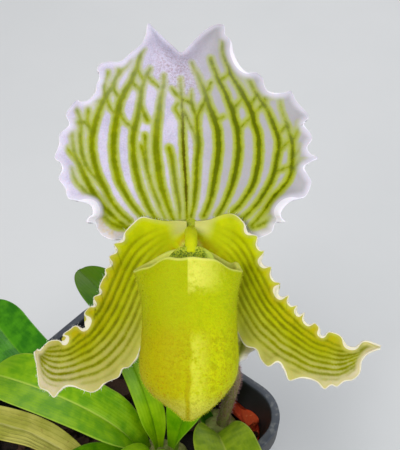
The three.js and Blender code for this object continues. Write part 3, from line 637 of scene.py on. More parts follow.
DORSAL_COLUMNS = 6 * (len(DORSAL_MARGIN) - 1)
DORSAL_ROWS = 84
CURL_REACH = 4.5  # how far the waves of a margin run inwards
TISSUE = (0.34, 0.8)  # thickness at a margin and away from it


def dorsal_depth(x, y):
    groove = -GROOVE_DEPTH * np.exp(-((x / GROOVE_HALF) ** 2)) * smooth(y / 8)
    return DORSAL_OUT + DORSAL_CUP * x * x - DORSAL_LEAN * y * y + groove


dorsal_margin = even_curve(DORSAL_MARGIN, MARGIN_POINTS)
dorsal_edge = even_curve(DORSAL_MARGIN, DORSAL_COLUMNS + 1)[::-1]
reach = mix(FAN_START, 1, np.linspace(1, 0, DORSAL_ROWS))[:, None]
foot_x = mix(DORSAL_FOOT, -DORSAL_FOOT, np.linspace(0, 1, DORSAL_COLUMNS + 1))
dorsal_x = mix(foot_x, dorsal_edge[:, 0], reach)
dorsal_y = mix(DORSAL_RISE, dorsal_edge[:, 1], reach)
dorsal_places = np.stack([dorsal_x, dorsal_y], 2).reshape(-1, 2)
dorsal_to_margin, dorsal_curl = margin_curl(dorsal_places, dorsal_margin, CURL_REACH)
dorsal_z = dorsal_depth(dorsal_x, dorsal_y) + dorsal_curl.reshape(dorsal_x.shape)
dorsal_grid = np.stack([dorsal_x, dorsal_y, dorsal_z], 2)
print("dorsal sepal grid:", dorsal_grid.shape[:2])

# %% [markdown]
# The veins rise from the foot, bow out and come together again below the two peaks. Near the
# margin short cross veins join them into a net. A point every 2 or 3 mm is enough to follow each.

# %% Dorsal sepal veins
LONG_VEINS = [  # half width, strength at foot and end, [across, up]
    (0.5, 1, 0.35, [[-0.7, -0.2], [-1, 5], [-1.2, 9.4], [-1.6, 14.9], [-1.8, 19.3], [-1.9, 23.8],
        [-2.1, 27.1], [-2.2, 30.1], [-2.3, 32.8]]),
    (0.55, 0.9, 1, [[-2.4, 2], [-2.6, 5], [-3, 7.2], [-3.4, 9.4], [-3.7, 11.6], [-4.1, 14.2],
        [-4.4, 16], [-4.8, 17.3]]),
    (0.8, 1, 0.35, [[-3.9, 1.7], [-4.8, 3.9], [-5.7, 6.6], [-6.4, 8.7], [-6.9, 11.1], [-7.2, 13.8],
        [-7.6, 16.6], [-7.6, 19.3], [-7.5, 21.5], [-7.1, 24.4], [-6.8, 27.1], [-6.4, 29.8],
        [-6.1, 31.4], [-6, 33.5]]),
    (0.45, 0.9, 1, [[-5.7, 2], [-6.6, 4.1], [-7.4, 6.1], [-8.3, 8.3], [-9, 10.5], [-9.6, 12.7],
        [-10.1, 14.9], [-10.5, 16.4], [-10.9, 17.7]]),
    (0.42, 0.9, 1, [[-9.6, 13.1], [-9.9, 15.3], [-10, 17.5], [-10.1, 20]]),
    (0.68, 1, 0.5, [[-7.4, 1.5], [-8.7, 3.3], [-9.6, 5], [-10.5, 7.2], [-11.3, 9.2], [-11.9, 11.6],
        [-12.4, 14.2], [-12.6, 17.1], [-12.7, 19.3], [-12.4, 21.5], [-11.9, 23.7], [-11.4, 26],
        [-11.1, 28.2], [-10.9, 30.2], [-10.4, 32.1], [-9.8, 33.7], [-9.1, 35]]),
    (0.74, 1, 0.6, [[-10.7, 2.4], [-12.2, 4.1], [-13.5, 5.9], [-14.7, 8.1], [-15.7, 10],
        [-16.3, 12.2], [-16.8, 14.8], [-17, 17], [-16.9, 19.3], [-16.7, 21.5], [-16.3, 23.9],
        [-16, 25.5], [-15.7, 27.3], [-15, 28.7], [-14.3, 30.2], [-13.5, 31.6], [-13.1, 32.5],
        [-12.6, 33.9], [-12, 35.2], [-11.7, 36.8], [-11.3, 38.2], [-10.7, 39.6]]),
    (0.68, 1, 0.4, [[-13.3, 1.3], [-15, 2.8], [-16.6, 4.6], [-17.8, 6.3], [-18.7, 8.3],
        [-19.7, 10.2], [-20.6, 12.4], [-21.2, 14.8], [-21.5, 17], [-21.6, 19.2], [-21.3, 21.2],
        [-20.8, 23.2], [-20.2, 25.2], [-19.6, 27], [-18.8, 28.6], [-18.1, 29.9], [-17.2, 31.3],
        [-16.6, 32.7], [-16, 33.8], [-15.3, 34.7], [-14.2, 35.9], [-13.4, 37.1]]),
    (0.62, 1, 0.45, [[-14, 0], [-15.5, 1.1], [-17, 2.4], [-18.3, 3.5], [-19.4, 4.6], [-20.2, 5.7],
        [-21.1, 7], [-22, 8.7], [-22.8, 10.4], [-23.7, 12.4], [-24.6, 14.4], [-25.4, 16.1],
        [-25.7, 18.1], [-26, 20.9]]),
    (0.46, 0.9, 0.5, [[-20.3, 10.2], [-21.1, 11.1], [-22.2, 12.4], [-23.1, 14.1], [-23.7, 15.9],
        [-24, 18.1], [-24.1, 20.3], [-24, 21.8], [-24.1, 23.2], [-24.5, 24.5], [-25.1, 26]]),
    (0.4, 0.8, 0.4, [[-20.7, 6.1], [-21.7, 6.7], [-22.6, 7.4], [-23.7, 8.5], [-24.7, 9.6],
        [-25.4, 10.9], [-26, 12.6]]),
    (0.55, 1, 0.7, [[-13.7, -0.2], [-15.7, 0.1], [-17.4, 0.9], [-18.8, 2.2]]),
    (0.6, 1, 0.9, [[0, 2.2], [0.7, 5], [1.1, 8.3], [1.3, 11.6], [1.5, 14.9], [1.8, 18.2],
        [1.5, 21.5], [1.4, 24]]),
    (0.46, 0.9, 0.8, [[1.4, 24], [0.6, 26], [0.1, 27.2], [-0.9, 27.8], [-1.8, 28]]),
    (0.46, 0.9, 0.8, [[1.5, 24], [2.1, 25.8], [2.8, 27.1], [3.4, 28.2]]),
    (0.36, 0.8, 0.5, [[-1.7, 25.8], [-0.9, 24], [0, 22.2], [0.9, 20.6], [1.5, 18.6]]),
    (0.32, 0.7, 0.4, [[0.1, 27.1], [0.1, 28.7], [0.1, 30.1]]),
    (0.8, 1, 0.3, [[2.8, 2.4], [3.9, 5], [4.6, 7.2], [5.2, 10.5], [5.7, 13.8], [6.1, 17.1],
        [6, 19.3], [5.8, 21.5], [5.1, 23.8], [4.5, 25.5], [3.8, 27.1], [3.5, 28.7], [3.1, 29.9],
        [2.4, 31.6], [1.7, 33.5], [0.9, 34.8], [0.2, 36.4]]),
    (0.74, 1, 0.6, [[5.9, 2.6], [7, 4.4], [7.8, 6.1], [8.7, 8.3], [9.4, 10.5], [9.9, 12.7],
        [10.3, 14.9], [10.5, 17.1], [10.4, 19.3], [10.2, 21.7], [9.6, 23.7], [9.1, 25.8],
        [8.3, 27.6], [7.7, 29.4], [6.8, 31.2], [6, 32.8], [5.4, 34.4], [4.7, 36.2], [4.4, 37.4]]),
    (0.74, 1, 0.35, [[8.9, 3.1], [10.5, 4.6], [11.8, 6.3], [13.1, 8.3], [14, 10.5], [14.6, 13.1],
        [14.9, 16], [14.9, 18.2], [14.7, 20.4], [14, 22.6], [13.5, 24.8], [12.8, 26.6],
        [11.9, 28.4], [11, 30.2], [9.9, 32.1], [9, 33.7], [8.4, 35.5], [7.7, 37.1], [7.2, 39.2],
        [7.1, 41.3]]),
    (0.64, 1, 0.5, [[11.1, 1.7], [12.9, 3.3], [14.4, 5], [15.7, 6.8], [17, 8.9], [17.9, 10.9],
        [18.5, 13.1], [18.9, 15.3], [19.2, 17], [19.2, 18.8], [18.8, 20.6], [18.2, 22.3],
        [17.5, 24.1], [16.9, 25.5], [16, 27], [14.9, 28.6], [14.1, 30], [13.3, 31.6], [12.6, 32.9],
        [11.9, 33.6]]),
    (0.56, 1, 0.4, [[13.3, 0.4], [14.8, 2], [16.5, 3.9], [17.6, 5.7], [18.9, 7.2], [20.2, 8.7],
        [21.3, 10.4], [22, 12.2], [22.2, 14.8], [22.3, 17], [22.1, 18.8], [21.6, 20.3], [21, 22.5],
        [20.3, 24.5], [19.8, 26.3], [19.5, 28.1]]),
    (0.36, 0.8, 0.5, [[22.2, 18.3], [22.9, 19.9], [23.5, 21.4], [23.7, 22.7]]),
    (0.3, 0.7, 0.3, [[22, 12], [22.8, 13.1], [23.9, 14.1], [25, 14.6]]),
    (0.26, 0.6, 0.3, [[22.5, 15], [23.3, 16.3], [24.1, 17.6]]),
    (0.4, 0.9, 0.7, [[13.5, -0.2], [15, 0.4], [16.8, 1.3], [18.3, 2.1]]),
    (0.45, 0.9, 1, [[-11, 26.6], [-10.5, 25.3], [-10, 24.2], [-9.6, 23.4]]),
]
CROSS_VEINS = [  # [across, up]
    [[-19.8, 27.7], [-20.7, 27.8], [-21.8, 27.4], [-22.7, 26.9]],
    [[-22.6, 27], [-22.5, 25.2], [-22.6, 23.4], [-22.2, 21.9], [-21.6, 20.1]],
    [[-25.6, 22.8], [-24.3, 22.7], [-23.2, 22.8], [-22.3, 21.9]],
    [[-18.8, 28.5], [-18.2, 27.2], [-17.6, 25.9], [-16.7, 25.1], [-16.1, 24.8]],
    [[-17.2, 31.3], [-16.7, 29.7], [-15.9, 28.8], [-15, 28.6]],
    [[-15.7, 25.5], [-15.1, 23.9], [-14.1, 22.7], [-12.9, 22]],
    [[-13.1, 32.3], [-12.2, 31.1], [-11, 30.2]], [[-12, 35.2], [-11.5, 34.1], [-10.7, 32.7]],
    [[-18.8, 28.6], [-19.2, 30.4], [-19.1, 32], [-18.6, 33.3], [-18.3, 34.2]],
    [[-9.6, 33.3], [-8.5, 32.1], [-7.3, 31.1]], [[-2.1, 28.2], [-3.1, 29.1], [-4.2, 30.5]],
    [[-2.2, 23.5], [-2.9, 24.9], [-3.5, 26], [-2.9, 27.2]], [[3.2, 29.8], [3.9, 30.5], [4.4, 31.9]],
    [[5.5, 23.6], [6.4, 23.8], [7.2, 24.3]], [[6.6, 32.4], [7.6, 33.2], [8.8, 34]],
    [[9.1, 25.9], [10.2, 26.9], [11.1, 28], [11.9, 28.3]],
    [[10.5, 21.3], [11.3, 22.2], [12.5, 23.4], [13.5, 24.4]],
    [[13, 26.3], [13.6, 27.5], [14.4, 28.6], [14.9, 28.9]],
    [[13.7, 24.8], [14.9, 25.9], [15.9, 27.2]], [[16, 27.2], [16.6, 28.5], [17.6, 28.7]],
    [[19, 20.3], [19.8, 21], [20.5, 21.9], [21.2, 22]],
    [[19.2, 16.3], [20.3, 17.6], [21.4, 18.6], [22.1, 18.9]],
    [[18.5, 12], [19.8, 12.5], [21.3, 13], [22.1, 12.6]], [[-15.9, 33.8], [-16, 35], [-16.4, 35.9]],
    [[-27, 17.2], [-26.1, 16], [-25, 14.8]],
]
CROSS_VEIN = (0.34, 0.9, 0.8)  # half width, strength at foot and end

dorsal_veins = LONG_VEINS + [(*CROSS_VEIN, points) for points in CROSS_VEINS]
dorsal_vein, dorsal_strength = vein_marks(dorsal_places, dorsal_veins)
print("dorsal veins:", len(dorsal_veins))

# %% [markdown]
# The finish puts the colours down in the order they lie in the tissue: a white with a breath of
# lilac, browned spots below the notch, yellow at the foot, a yellow halo round each vein, and then
# the vein itself, olive with a darker middle. A painted shade greys the right half and darkens the
# veins' middles there. Close to the margin everything fades to clear white. A fine grain
# and slight ridges over the veins go into the bump.

# %% Sepal finish
def sepal_finish(name, ground, shade, foot_tint):
    paint = Finish(name, shine=0.03, through=0.06, depth=1.2)
    # right tells how much painted shade greys a place on the right half
    up, right = paint.mark("up"), paint.mark("right")
    inside = paint.mark("edge") - paint.mark("curl").step(0.8, 4.0) * 1.5
    grain = paint.noise(0.32, 2) - 0.5
    wander = paint.noise(1.3, 3) - 0.5
    vein = paint.mark("vein") + wander * 0.4 + grain * 0.3
    strength = paint.mark("strength") * inside.step(0.2, 2.2)
    brown = (paint.noise(0.6, 4, 0.7) + grain * 0.3).step(0.4, 0.66) * paint.mark("blush")
    low_left = paint.mark("low_left") * paint.noise(1.6, 3).step(0.35, 0.65)
    halo = vein.step(0.9, 0.3) * strength * up.step(70.0, 20.0)
    olive = paint.coats(
        paint.tints(paint.noise(2.6, 2).step(0.35, 0.65), (124, 136, 0), (146, 156, 0)),
        # painted shade: the veins' darker middle grows stronger towards the right
        (vein.step(-0.1, -0.5) * (right * 0.4 + 0.5), (78, 88, 0)),
        (paint.mark("middle") * vein.step(-0.1, -0.3) * 0.8, (72, 62, 4)),
    )
    body = paint.coats(
        paint.tints((paint.noise(3.5, 4) + grain * 0.9).step(0.3, 0.75), ground, shade),
        (brown * 0.55, (142, 112, 112)),
        # painted shade: the right half is greyed
        (right * 0.85, (160, 158, 158)),
        (up.step(8.0, -1.0) * 0.25, foot_tint),
        (low_left * 0.7, (196, 164, 30)),
        (halo * 0.85, (160, 170, 24)),
        (vein.step(0.32, -0.28) * strength, olive),
        (inside.step(1.8, 0.1) * 0.6, (222, 218, 234)),
        (inside.step(0.22, 0.08), (234, 230, 240)),
    )
    relief = vein.step(0.4, -0.4) * strength * -0.7 + paint.noise(0.35, 2) * 0.25
    return paint.finished(body, 0.52 + paint.noise(0.9, 2) * 0.16, relief, 0.22)


dorsal_paint = sepal_finish("dorsal_tissue", (198, 191, 213), (180, 174, 196), (184, 186, 96))
print("nodes in the sepal's finish:", len(dorsal_paint.node_tree.nodes))

# %% [markdown]
# The finish reads these marks. Some come from the shape itself, such as the distance to the margin,
# some are soft patches laid where the real sepal is browned or yellower, and one lays a painted
# shade over its right half.

# %% Dorsal sepal
BLUSHES = [  # place, spread across and up, strength
    ([-5, 36], [14, 30], 1.0), ([-1, 32], [9, 30], 1.0), ([0.6, 17], [1.2, 26], 0.6),
]
MIDDLE_VEIN = -1.4  # where the middle vein runs, across


def soft_patch(at, spread):
    return np.exp(-((dorsal_x - at[0]) ** 2 / spread[0] + (dorsal_y - at[1]) ** 2 / spread[1]))


blush = sum(strength * soft_patch(at, spread) for at, spread, strength in BLUSHES)
beside_middle = np.exp(-((dorsal_x - MIDDLE_VEIN) ** 2))
dorsal_marks = {
    "vein": dorsal_vein,
    "strength": dorsal_strength,
    "edge": dorsal_to_margin,
    "curl": dorsal_curl,
    "up": dorsal_y,
    "blush": np.minimum(blush, 1),
    "middle": beside_middle * smooth(dorsal_y / 6) * smooth((34 - dorsal_y) / 8),
    "low_left": smooth((-14 - dorsal_x) / 4) * smooth((3.4 - dorsal_y) / 2.5),
    # painted shade: how far a place lies in the greyed right half
    "right": smooth((dorsal_x + 4) / 12),
}
dorsal_thickness = mix(*TISSUE, smooth(dorsal_to_margin.reshape(dorsal_x.shape) / 3))
blade_piece("dorsal_sepal", dorsal_grid, dorsal_thickness, dorsal_paint, dorsal_marks,
            from_bloom)

# %% [markdown]
# ## Petals
# A petal leaves the middle level, swings down and flicks out at the tip. Its upper margin is
# crisped into small round bays, its lower margin waved. Both margins are drawn, and the grid is
# stretched between them, following each margin near it and an ironed-out copy further in, so
# that the waves die away before they reach the middle of the petal.

# %% Petal margins
LEFT_UPPER = [  # across, up, wave out of the face, as for the dorsal sepal
    [-0.9, 1.2, 0], [-3.2, 1.4, 0.4], [-5.1, 1.3, 0], [-7.8, 1.7, -0.4], [-10.6, 2.2, 0],
    [-12.5, 0.8, 0.3], [-14.3, -1.2, 0.4], [-14.7, -2.7, 1.2], [-16.6, -3.7, -0.6], [-16, -5.1, 1],
    [-17.6, -6.4, -0.6], [-17.2, -7.9, 1.4], [-18.5, -9.2, -0.6], [-18.4, -10.2, 0.6],
    [-19.1, -11.2, -0.2], [-19.8, -13, -0.6], [-19.4, -14.1, 1], [-21, -15.2, -0.6],
    [-20.7, -16.7, 1.4], [-22.1, -17.4, -0.4], [-23.1, -18.8, -0.6], [-22, -20.1, 1.6],
    [-23.3, -22, 1.6], [-25.5, -21.7, -0.4], [-27, -22.8, -0.6], [-28.2, -23.8, -0.4],
    [-27.1, -24.3, 1], [-27.7, -25.4, 1.4], [-29.6, -25.1, -0.2], [-31.9, -25.6, -0.8],
    [-33.3, -27, 0], [-33.9, -27.7, 0.6], [-35.4, -27.2, 0],
]
LEFT_LOWER = [
    [-0.9, -2.6, 0], [-3.6, -8.6, 0], [-6.4, -14, 0], [-8.6, -20, 0], [-10.8, -26, 0],
    [-11.4, -28.1, 0.8], [-12.3, -29.2, 0.4], [-13.4, -30.3, 0], [-14.6, -30.6, 0.6],
    [-15.6, -32.5, -0.6], [-17.9, -33.5, -0.2], [-18.8, -34, 0.6], [-19.9, -35.2, 0],
    [-21.5, -36, -0.6], [-23.7, -35.5, 0.2], [-25.6, -34.9, 0.8], [-27.3, -35, 0.8],
    [-28.9, -36.2, 0], [-30.3, -37.7, -0.8], [-31.7, -36.3, 0.4], [-33.6, -35.6, -0.4],
    [-34.2, -33.1, 0.4], [-34.7, -30.8, 0.2], [-35.2, -29.1, 0], [-35.4, -27.2, 0],
]
RIGHT_UPPER = [
    [0.9, 1.2, 0], [2.8, 1.4, 0.4], [4.3, 1.7, 0], [7.2, 2.8, -0.4], [9.4, 2.8, 0],
    [11.6, 0.8, 0.4], [12.2, -1, 1.4], [14.4, -2, -0.6], [14.3, -3.7, 0.8], [14.9, -4.9, 0.8],
    [15.9, -5.1, -0.6], [15.3, -6.5, 1], [15.1, -7.3, 1.6], [15.8, -8.3, 1.4], [17.4, -8.6, -0.6],
    [17.3, -10.2, 0.8], [18, -11.5, 0.8], [19.4, -12.2, -0.6], [18.4, -13.3, 1.8],
    [19.3, -14.9, 1.8], [21.3, -14.8, -0.6], [20.9, -15.8, 0.6], [21.6, -16.9, 0.8],
    [23.1, -17, -0.6], [22.7, -17.9, 1.4], [23.4, -18.9, 1.4], [24.7, -18.5, -0.6],
    [24.3, -19.7, 0.8], [25.5, -21.1, 1], [27, -20.9, -0.6], [28, -21.9, 0.6], [28, -23.1, 1.4],
    [28.8, -23.7, 1], [30.2, -22.9, -0.6], [32.7, -23.7, 0], [34.1, -25.8, 1.4], [35.8, -26.2, 1.2],
    [37, -25.6, 0.6], [37.7, -25.2, -0.4], [38.9, -25.1, -0.2], [41, -25.9, 0], [42.8, -26.6, 0],
]
RIGHT_LOWER = [
    [0.9, -2.6, 0], [3.6, -8.4, 0], [6, -13, 0], [8.4, -18, 0], [10.2, -23, 0], [11.8, -25.6, 0.6],
    [14, -26.4, 0], [15.2, -28.8, -0.8], [16.8, -30.2, 0], [18.8, -29.2, 0.8], [20.2, -30.9, 0.4],
    [21.3, -33.3, -0.6], [23.8, -32.7, 0.6], [26.1, -33.1, 0.6], [27.5, -33.8, 0],
    [29.2, -35.4, -0.6], [30.6, -34.5, 0.4], [31.9, -34.9, -0.2], [33.6, -33.7, 0.4],
    [35.4, -33.5, 0], [37.1, -32.2, -0.6], [37.4, -29.6, 0.6], [38.6, -28.1, 0.6],
    [40.3, -27.3, 0.2], [42.8, -26.6, 0],
]
print("points of the petals' margins:", len(LEFT_UPPER + LEFT_LOWER + RIGHT_UPPER + RIGHT_LOWER))

# %% Petal grids
LEFT_DEPTH = [0.9, 1.6, 1.4, 1, -3.6, -9]  # how far out of the face its middle lies, foot to tip
RIGHT_DEPTH = [0.9, 1.6, 1.3, 0.6, -1.6, -4]
PETAL_DISH = 0.9
PETAL_ROWS = 300
PETAL_COLUMNS = 56
IRON = 2.6  # half the width of the mean that irons a margin out
VEIN_IRON = 6.5  # the same for the lines that the veins follow
IRON_STEPS = 1500
EDGE_STEPS = 700
FOOT_STEPS = 12  # a petal's foot is no margin
PETAL_END = 0.985  # a blade can't end in a point


def ironed(margin, shares, iron=IRON):
    """The margin and its ironed-out copy, both at shares of the copy's length."""
    count = IRON_STEPS
    line = even_curve(margin, count)
    step = np.linalg.norm(line[1] - line[0])
    about = np.minimum(int(iron / step), np.minimum(np.arange(count), np.arange(count)[::-1]))
    sums = np.concatenate([np.zeros((1, 3)), np.cumsum(line, axis=0)])
    first = np.arange(count) - about
    last = np.arange(count) + about + 1
    plain = (sums[last] - sums[first]) / (last - first)[:, None]
    run = run_of(plain[:, :2])
    return picked(line, run, shares * run[-1]), picked(plain, run, shares * run[-1])


def petal_grid(upper, lower, depth):
    share = np.linspace(0, PETAL_END, PETAL_ROWS + 1)
    side = np.linspace(-1, 1, PETAL_COLUMNS + 1)[None, :, None]
    above, above_plain = (line[:, None] for line in ironed(upper, share))
    below, below_plain = (line[:, None] for line in ironed(lower, share))
    waved = smooth((np.abs(side) - 0.3) / 0.7)
    across = (side + 1) / 2
    flat = mix(mix(below_plain, above_plain, across), mix(below, above, across), waved)[..., :2]
    margins = [even_curve(points, EDGE_STEPS)[FOOT_STEPS:] for points in (upper, lower)]
    edge, curl = margin_curl(flat.reshape(-1, 2), np.concatenate(margins), CURL_REACH)
    edge, curl = edge.reshape(flat.shape[:2]), curl.reshape(flat.shape[:2])
    z = along(depth, share)[:, None] + PETAL_DISH * (side[..., 0] ** 2 - 0.6) + curl
    return np.concatenate([flat, z[..., None]], 2), share, side[0, :, 0], edge, curl


print("petal grid:", (PETAL_ROWS + 1, PETAL_COLUMNS + 1))

# %% [markdown]
# Eight dark veins run the length of a petal and close up at its tip. They follow ironed-out copies
# of the two margins, each at its own place between them. The tissue is yellow-green on the upper
# half, brighter near the middle of the bloom, creamy between the veins on the lower half, ochre
# along the crisped margin, and the rim itself is pale.

# %% Petal finish
def petal_finish(name):
    paint = Finish(name, shine=0.04, through=0.06, depth=1.2)
    side, share = paint.mark("side"), paint.mark("share")
    inside = paint.mark("edge") - paint.mark("curl").step(0.3, 1.8) * 0.6
    grain = paint.noise(0.32, 2) - 0.5
    wander = paint.noise(2.2, 3) - 0.5
    blots = paint.noise(4, 3)
    vein = paint.mark("vein") + wander * 0.4 + grain * 0.3
    lengthwise = share.step(1.03, 0.9) * share.step(0.06, 0.3)
    strength = paint.mark("strength") * inside.step(0.2, 1.6) * lengthwise
    yellow = paint.tints(blots.step(0.3, 0.7), (154, 158, 0), (170, 172, 4))
    bright = paint.tints(blots.step(0.3, 0.7), (166, 176, 0), (184, 192, 0))
    cream = paint.tints(blots, (184, 174, 118), (168, 162, 84))
    pale = (side + (paint.noise(5, 2) - 0.5) * 0.6).step(0.2, -0.6) * share.step(0.2, 0.6)
    ochre = side.step(0.1, 0.7) * share.step(0.25, 0.5) * share.step(1.0, 0.8)
    ochre = ochre * paint.noise(3, 3).step(0.3, 0.66)
    streak = vein.step(0.1, 0.9) * paint.noise(2.6, 3).step(0.45, 0.7)
    streak = streak * share.step(0.05, 0.16) * share.step(0.75, 0.4) * side.step(0.5, -0.2)
    # painted shade: brown blots at the foot along the lower margin, beside the column
    brown = (paint.noise(1.2, 3) + grain * 0.3).step(0.34, 0.6)
    brown = brown * side.step(0.1, -0.6) * share.step(0.36, 0.16)
    halo = vein.step(0.7, -0.1) * strength
    olive = paint.coats(
        paint.tints(paint.noise(3, 2).step(0.3, 0.7), (118, 122, 0), (138, 142, 0)),
        (vein.step(-0.05, -0.34) * 0.5, (92, 90, 0)),
    )
    line = vein.step(0.2, -0.24) * strength * (share.step(0.25, 0.6) * 0.4 + 0.75)
    body = paint.coats(
        yellow,
        (share.step(0.6, 0.25), bright),
        (pale * 0.8, cream),
        (ochre * 0.55, (178, 150, 18)),
        ((share + side * -0.12).step(0.68, 0.98) * 0.8, (204, 190, 166)),
        (streak * 0.6, (192, 188, 100)),
        # painted shade at the foot, beside the column
        (brown * 0.7, (168, 132, 4)),
        (share.step(0.1, 0.03) * side.step(-0.2, 0.4) * 0.7, (198, 194, 130)),
        (halo * 0.45, (150, 156, 0)),
        (line, olive),
        (inside.step(1.2, 0.1) * 0.4, (190, 188, 104)),
        (inside.step(0.24, 0.1) * share.step(0.12, 0.2), (222, 216, 192)),
    )
    relief = vein.step(0.35, -0.3) * strength * -0.8 + paint.noise(0.4, 2) * 0.25
    return paint.finished(body, 0.48 + paint.noise(1.1, 2) * 0.16, relief, 0.2)


petal_paint = petal_finish("petal_tissue")
print("nodes in the petals' finish:", len(petal_paint.node_tree.nodes))

# %% [markdown]
# The two petals are made by one function. The right one's columns run the other way, so that its
# front skin faces the same way as the left one's.

# %% Petals
PETAL_VEINS = [  # place across, -1 at the lower margin and 1 at the upper one, and strength
    (-0.86, 0.3), (-0.66, 0.8), (-0.45, 1), (-0.23, 1), (-0.01, 1), (0.21, 1), (0.43, 1),
    (0.66, 0.8),
]
VEIN_HALF = 0.34
END_FADE = 0.8  # strength of a petal's vein at its tip, as a share of that at its foot


def petal(name, upper, lower, depth, mirrored):
    grid, share, side, edge, curl = petal_grid(upper, lower, depth)
    down = np.linspace(0.03, 0.97, 30)
    above, below = ironed(upper, down, VEIN_IRON)[1], ironed(lower, down, VEIN_IRON)[1]
    veins = [(VEIN_HALF, strength, strength * END_FADE, mix(below, above, (where + 1) / 2)[:, :2])
             for where, strength in PETAL_VEINS]
    vein, strength = vein_marks(grid[..., :2].reshape(-1, 2), veins)
    thickness = mix(*TISSUE, smooth(edge / 2.5))
    marks = place_marks(share, side)
    marks |= {"vein": vein, "strength": strength, "edge": edge, "curl": curl}
    if mirrored:
        grid, thickness = grid[:, ::-1], thickness[:, ::-1]
        marks = {key: np.reshape(values, edge.shape)[:, ::-1] for key, values in marks.items()}
    blade_piece(name, grid, thickness, petal_paint, marks, from_bloom)
    return grid


left_grid = petal("petal_left", LEFT_UPPER, LEFT_LOWER, LEFT_DEPTH, mirrored=False)
right_grid = petal("petal_right", RIGHT_UPPER, RIGHT_LOWER, RIGHT_DEPTH, mirrored=True)

# %% [markdown]
# ## Synsepal
# The two lower sepals are grown into one, which hangs behind the pouch. It is drawn by its half
# width at eight heights and a regular wave along both margins. It takes the dorsal sepal's finish
# in warmer tones, with the patches of that one switched off.

# %% Synsepal
SYNSEPAL_LENGTH = 35
SYNSEPAL_TOP = -1.6
SYNSEPAL_HALF = [1.8, 5.6, 9, 11.4, 13, 13.4, 8.8, 1.2]
SYNSEPAL_DEPTH = (-2.2, -2.4, 0.5)  # out of the face at its foot, more by share and share cubed
SYNSEPAL_KEEL = 1.2
SYNSEPAL_WAVES = 7
WAVE_OUT, WAVE_ACROSS = 1.1, 0.035
SYNSEPAL_MIDDLE = 0.8
SYNSEPAL_VEIN = (0.3, 0.9, 0.5)  # half width, strength at foot and end
SYNSEPAL_VEINS = [-0.8, -0.62, -0.44, -0.27, -0.1, 0.1, 0.27, 0.44, 0.62, 0.8]
SYNSEPAL_ROWS = 150
SYNSEPAL_COLUMNS = 90

share = np.linspace(0, 1, SYNSEPAL_ROWS)[:, None]
side = np.linspace(1, -1, SYNSEPAL_COLUMNS)[None, :]
turns = 2 * np.pi * SYNSEPAL_WAVES * share
wave = np.sin(turns) * smooth(share * 4) * smooth((1 - share) * 5)
near_edge = smooth((np.abs(side) - 0.45) / 0.55)
half = along(SYNSEPAL_HALF, share) * (1 + WAVE_ACROSS * near_edge * np.cos(2 * turns))
keel = -SYNSEPAL_KEEL * (1 - side * side) * np.sin(np.pi * share)
foot, fall, hook = SYNSEPAL_DEPTH
synsepal_x = SYNSEPAL_MIDDLE + side * half
synsepal_y = np.broadcast_to(SYNSEPAL_TOP - SYNSEPAL_LENGTH * share, synsepal_x.shape)
waved = WAVE_OUT * wave * near_edge * np.sign(side)
synsepal_z = foot + fall * share + hook * share ** 3 + keel + waved
synsepal_grid = np.stack([synsepal_x, synsepal_y, synsepal_z], 2)

down = np.linspace(0.08, 0.9, 12)
synsepal_veins = []
for where in SYNSEPAL_VEINS:
    line_x = SYNSEPAL_MIDDLE + where * along(SYNSEPAL_HALF, down)
    line = np.stack([line_x, SYNSEPAL_TOP - SYNSEPAL_LENGTH * down], 1)
    synsepal_veins.append((*SYNSEPAL_VEIN, line))
synsepal_vein, synsepal_strength = vein_marks(synsepal_grid[..., :2].reshape(-1, 2), synsepal_veins)
synsepal_edge = (1 - np.abs(side)) * half
none = np.zeros(synsepal_x.shape)
synsepal_marks = dict.fromkeys(["curl", "blush", "middle", "low_left", "right"], none) | {
    "vein": synsepal_vein,
    "strength": synsepal_strength,
    "edge": np.minimum(synsepal_edge, (1 - share) * SYNSEPAL_LENGTH),
    "up": none + 9,
}
synsepal_thickness = mix(*TISSUE, smooth(synsepal_edge / 3))
synsepal_paint = sepal_finish("synsepal_tissue", (255, 248, 226), (250, 240, 200), (240, 236, 180))
blade_piece("synsepal", synsepal_grid, synsepal_thickness, synsepal_paint, synsepal_marks,
            from_bloom)

# %% [markdown]
# ## Margin hairs
# The white hairs stand along every margin, pointing away from the tissue.
# Their roots are places on the outermost row of each grid, and their direction is the step from
# the row inside it, leaned a little at random.

# %% Margin hairs
HAIRS_PER_MM = 2
HAIR_RADIUS = 0.034
HAIR_LEAN = 0.32
HAIR_SUNK = 0.12  # how deep a hair's root stands in the tissue
hair_random = np.random.default_rng(7)


def margin_hairs(edge_line, inner_line, shortest, longest):
    """Hairs along one margin, given its line of points and a line of points further in."""
    run = run_of(edge_line)
    count = int(run[-1] * HAIRS_PER_MM)
    want = np.sort(hair_random.uniform(0, run[-1], count))
    roots, inner = picked(edge_line, run, want), picked(inner_line, run, want)
    ways = unit(roots - inner) + hair_random.normal(scale=HAIR_LEAN, size=(count, 3))
    lengths = mix(shortest, longest, hair_random.random(count) ** 1.6)
    return hair_body(roots - unit(ways) * HAIR_SUNK, ways, lengths, HAIR_RADIUS, hair_random)


def side_hairs(grid, first_row, inwards, shortest, longest):
    """Hairs along both sides of a grid, leaning away from the columns that lie further inwards."""
    rows = grid[first_row:]
    return [margin_hairs(rows[:, column], rows[:, inner], shortest, longest)
            for column, inner in ((0, inwards), (-1, -1 - inwards))]


def hair_piece(name, bodies, node, paint):
    points, faces = joined(*bodies)
    make_piece(name, points, faces, node, paint)
    print(name, "hairs:", len(points) // HAIR_POINTS)


def in_bloom(bodies):
    return [(from_bloom(points), faces) for points, faces in bodies]


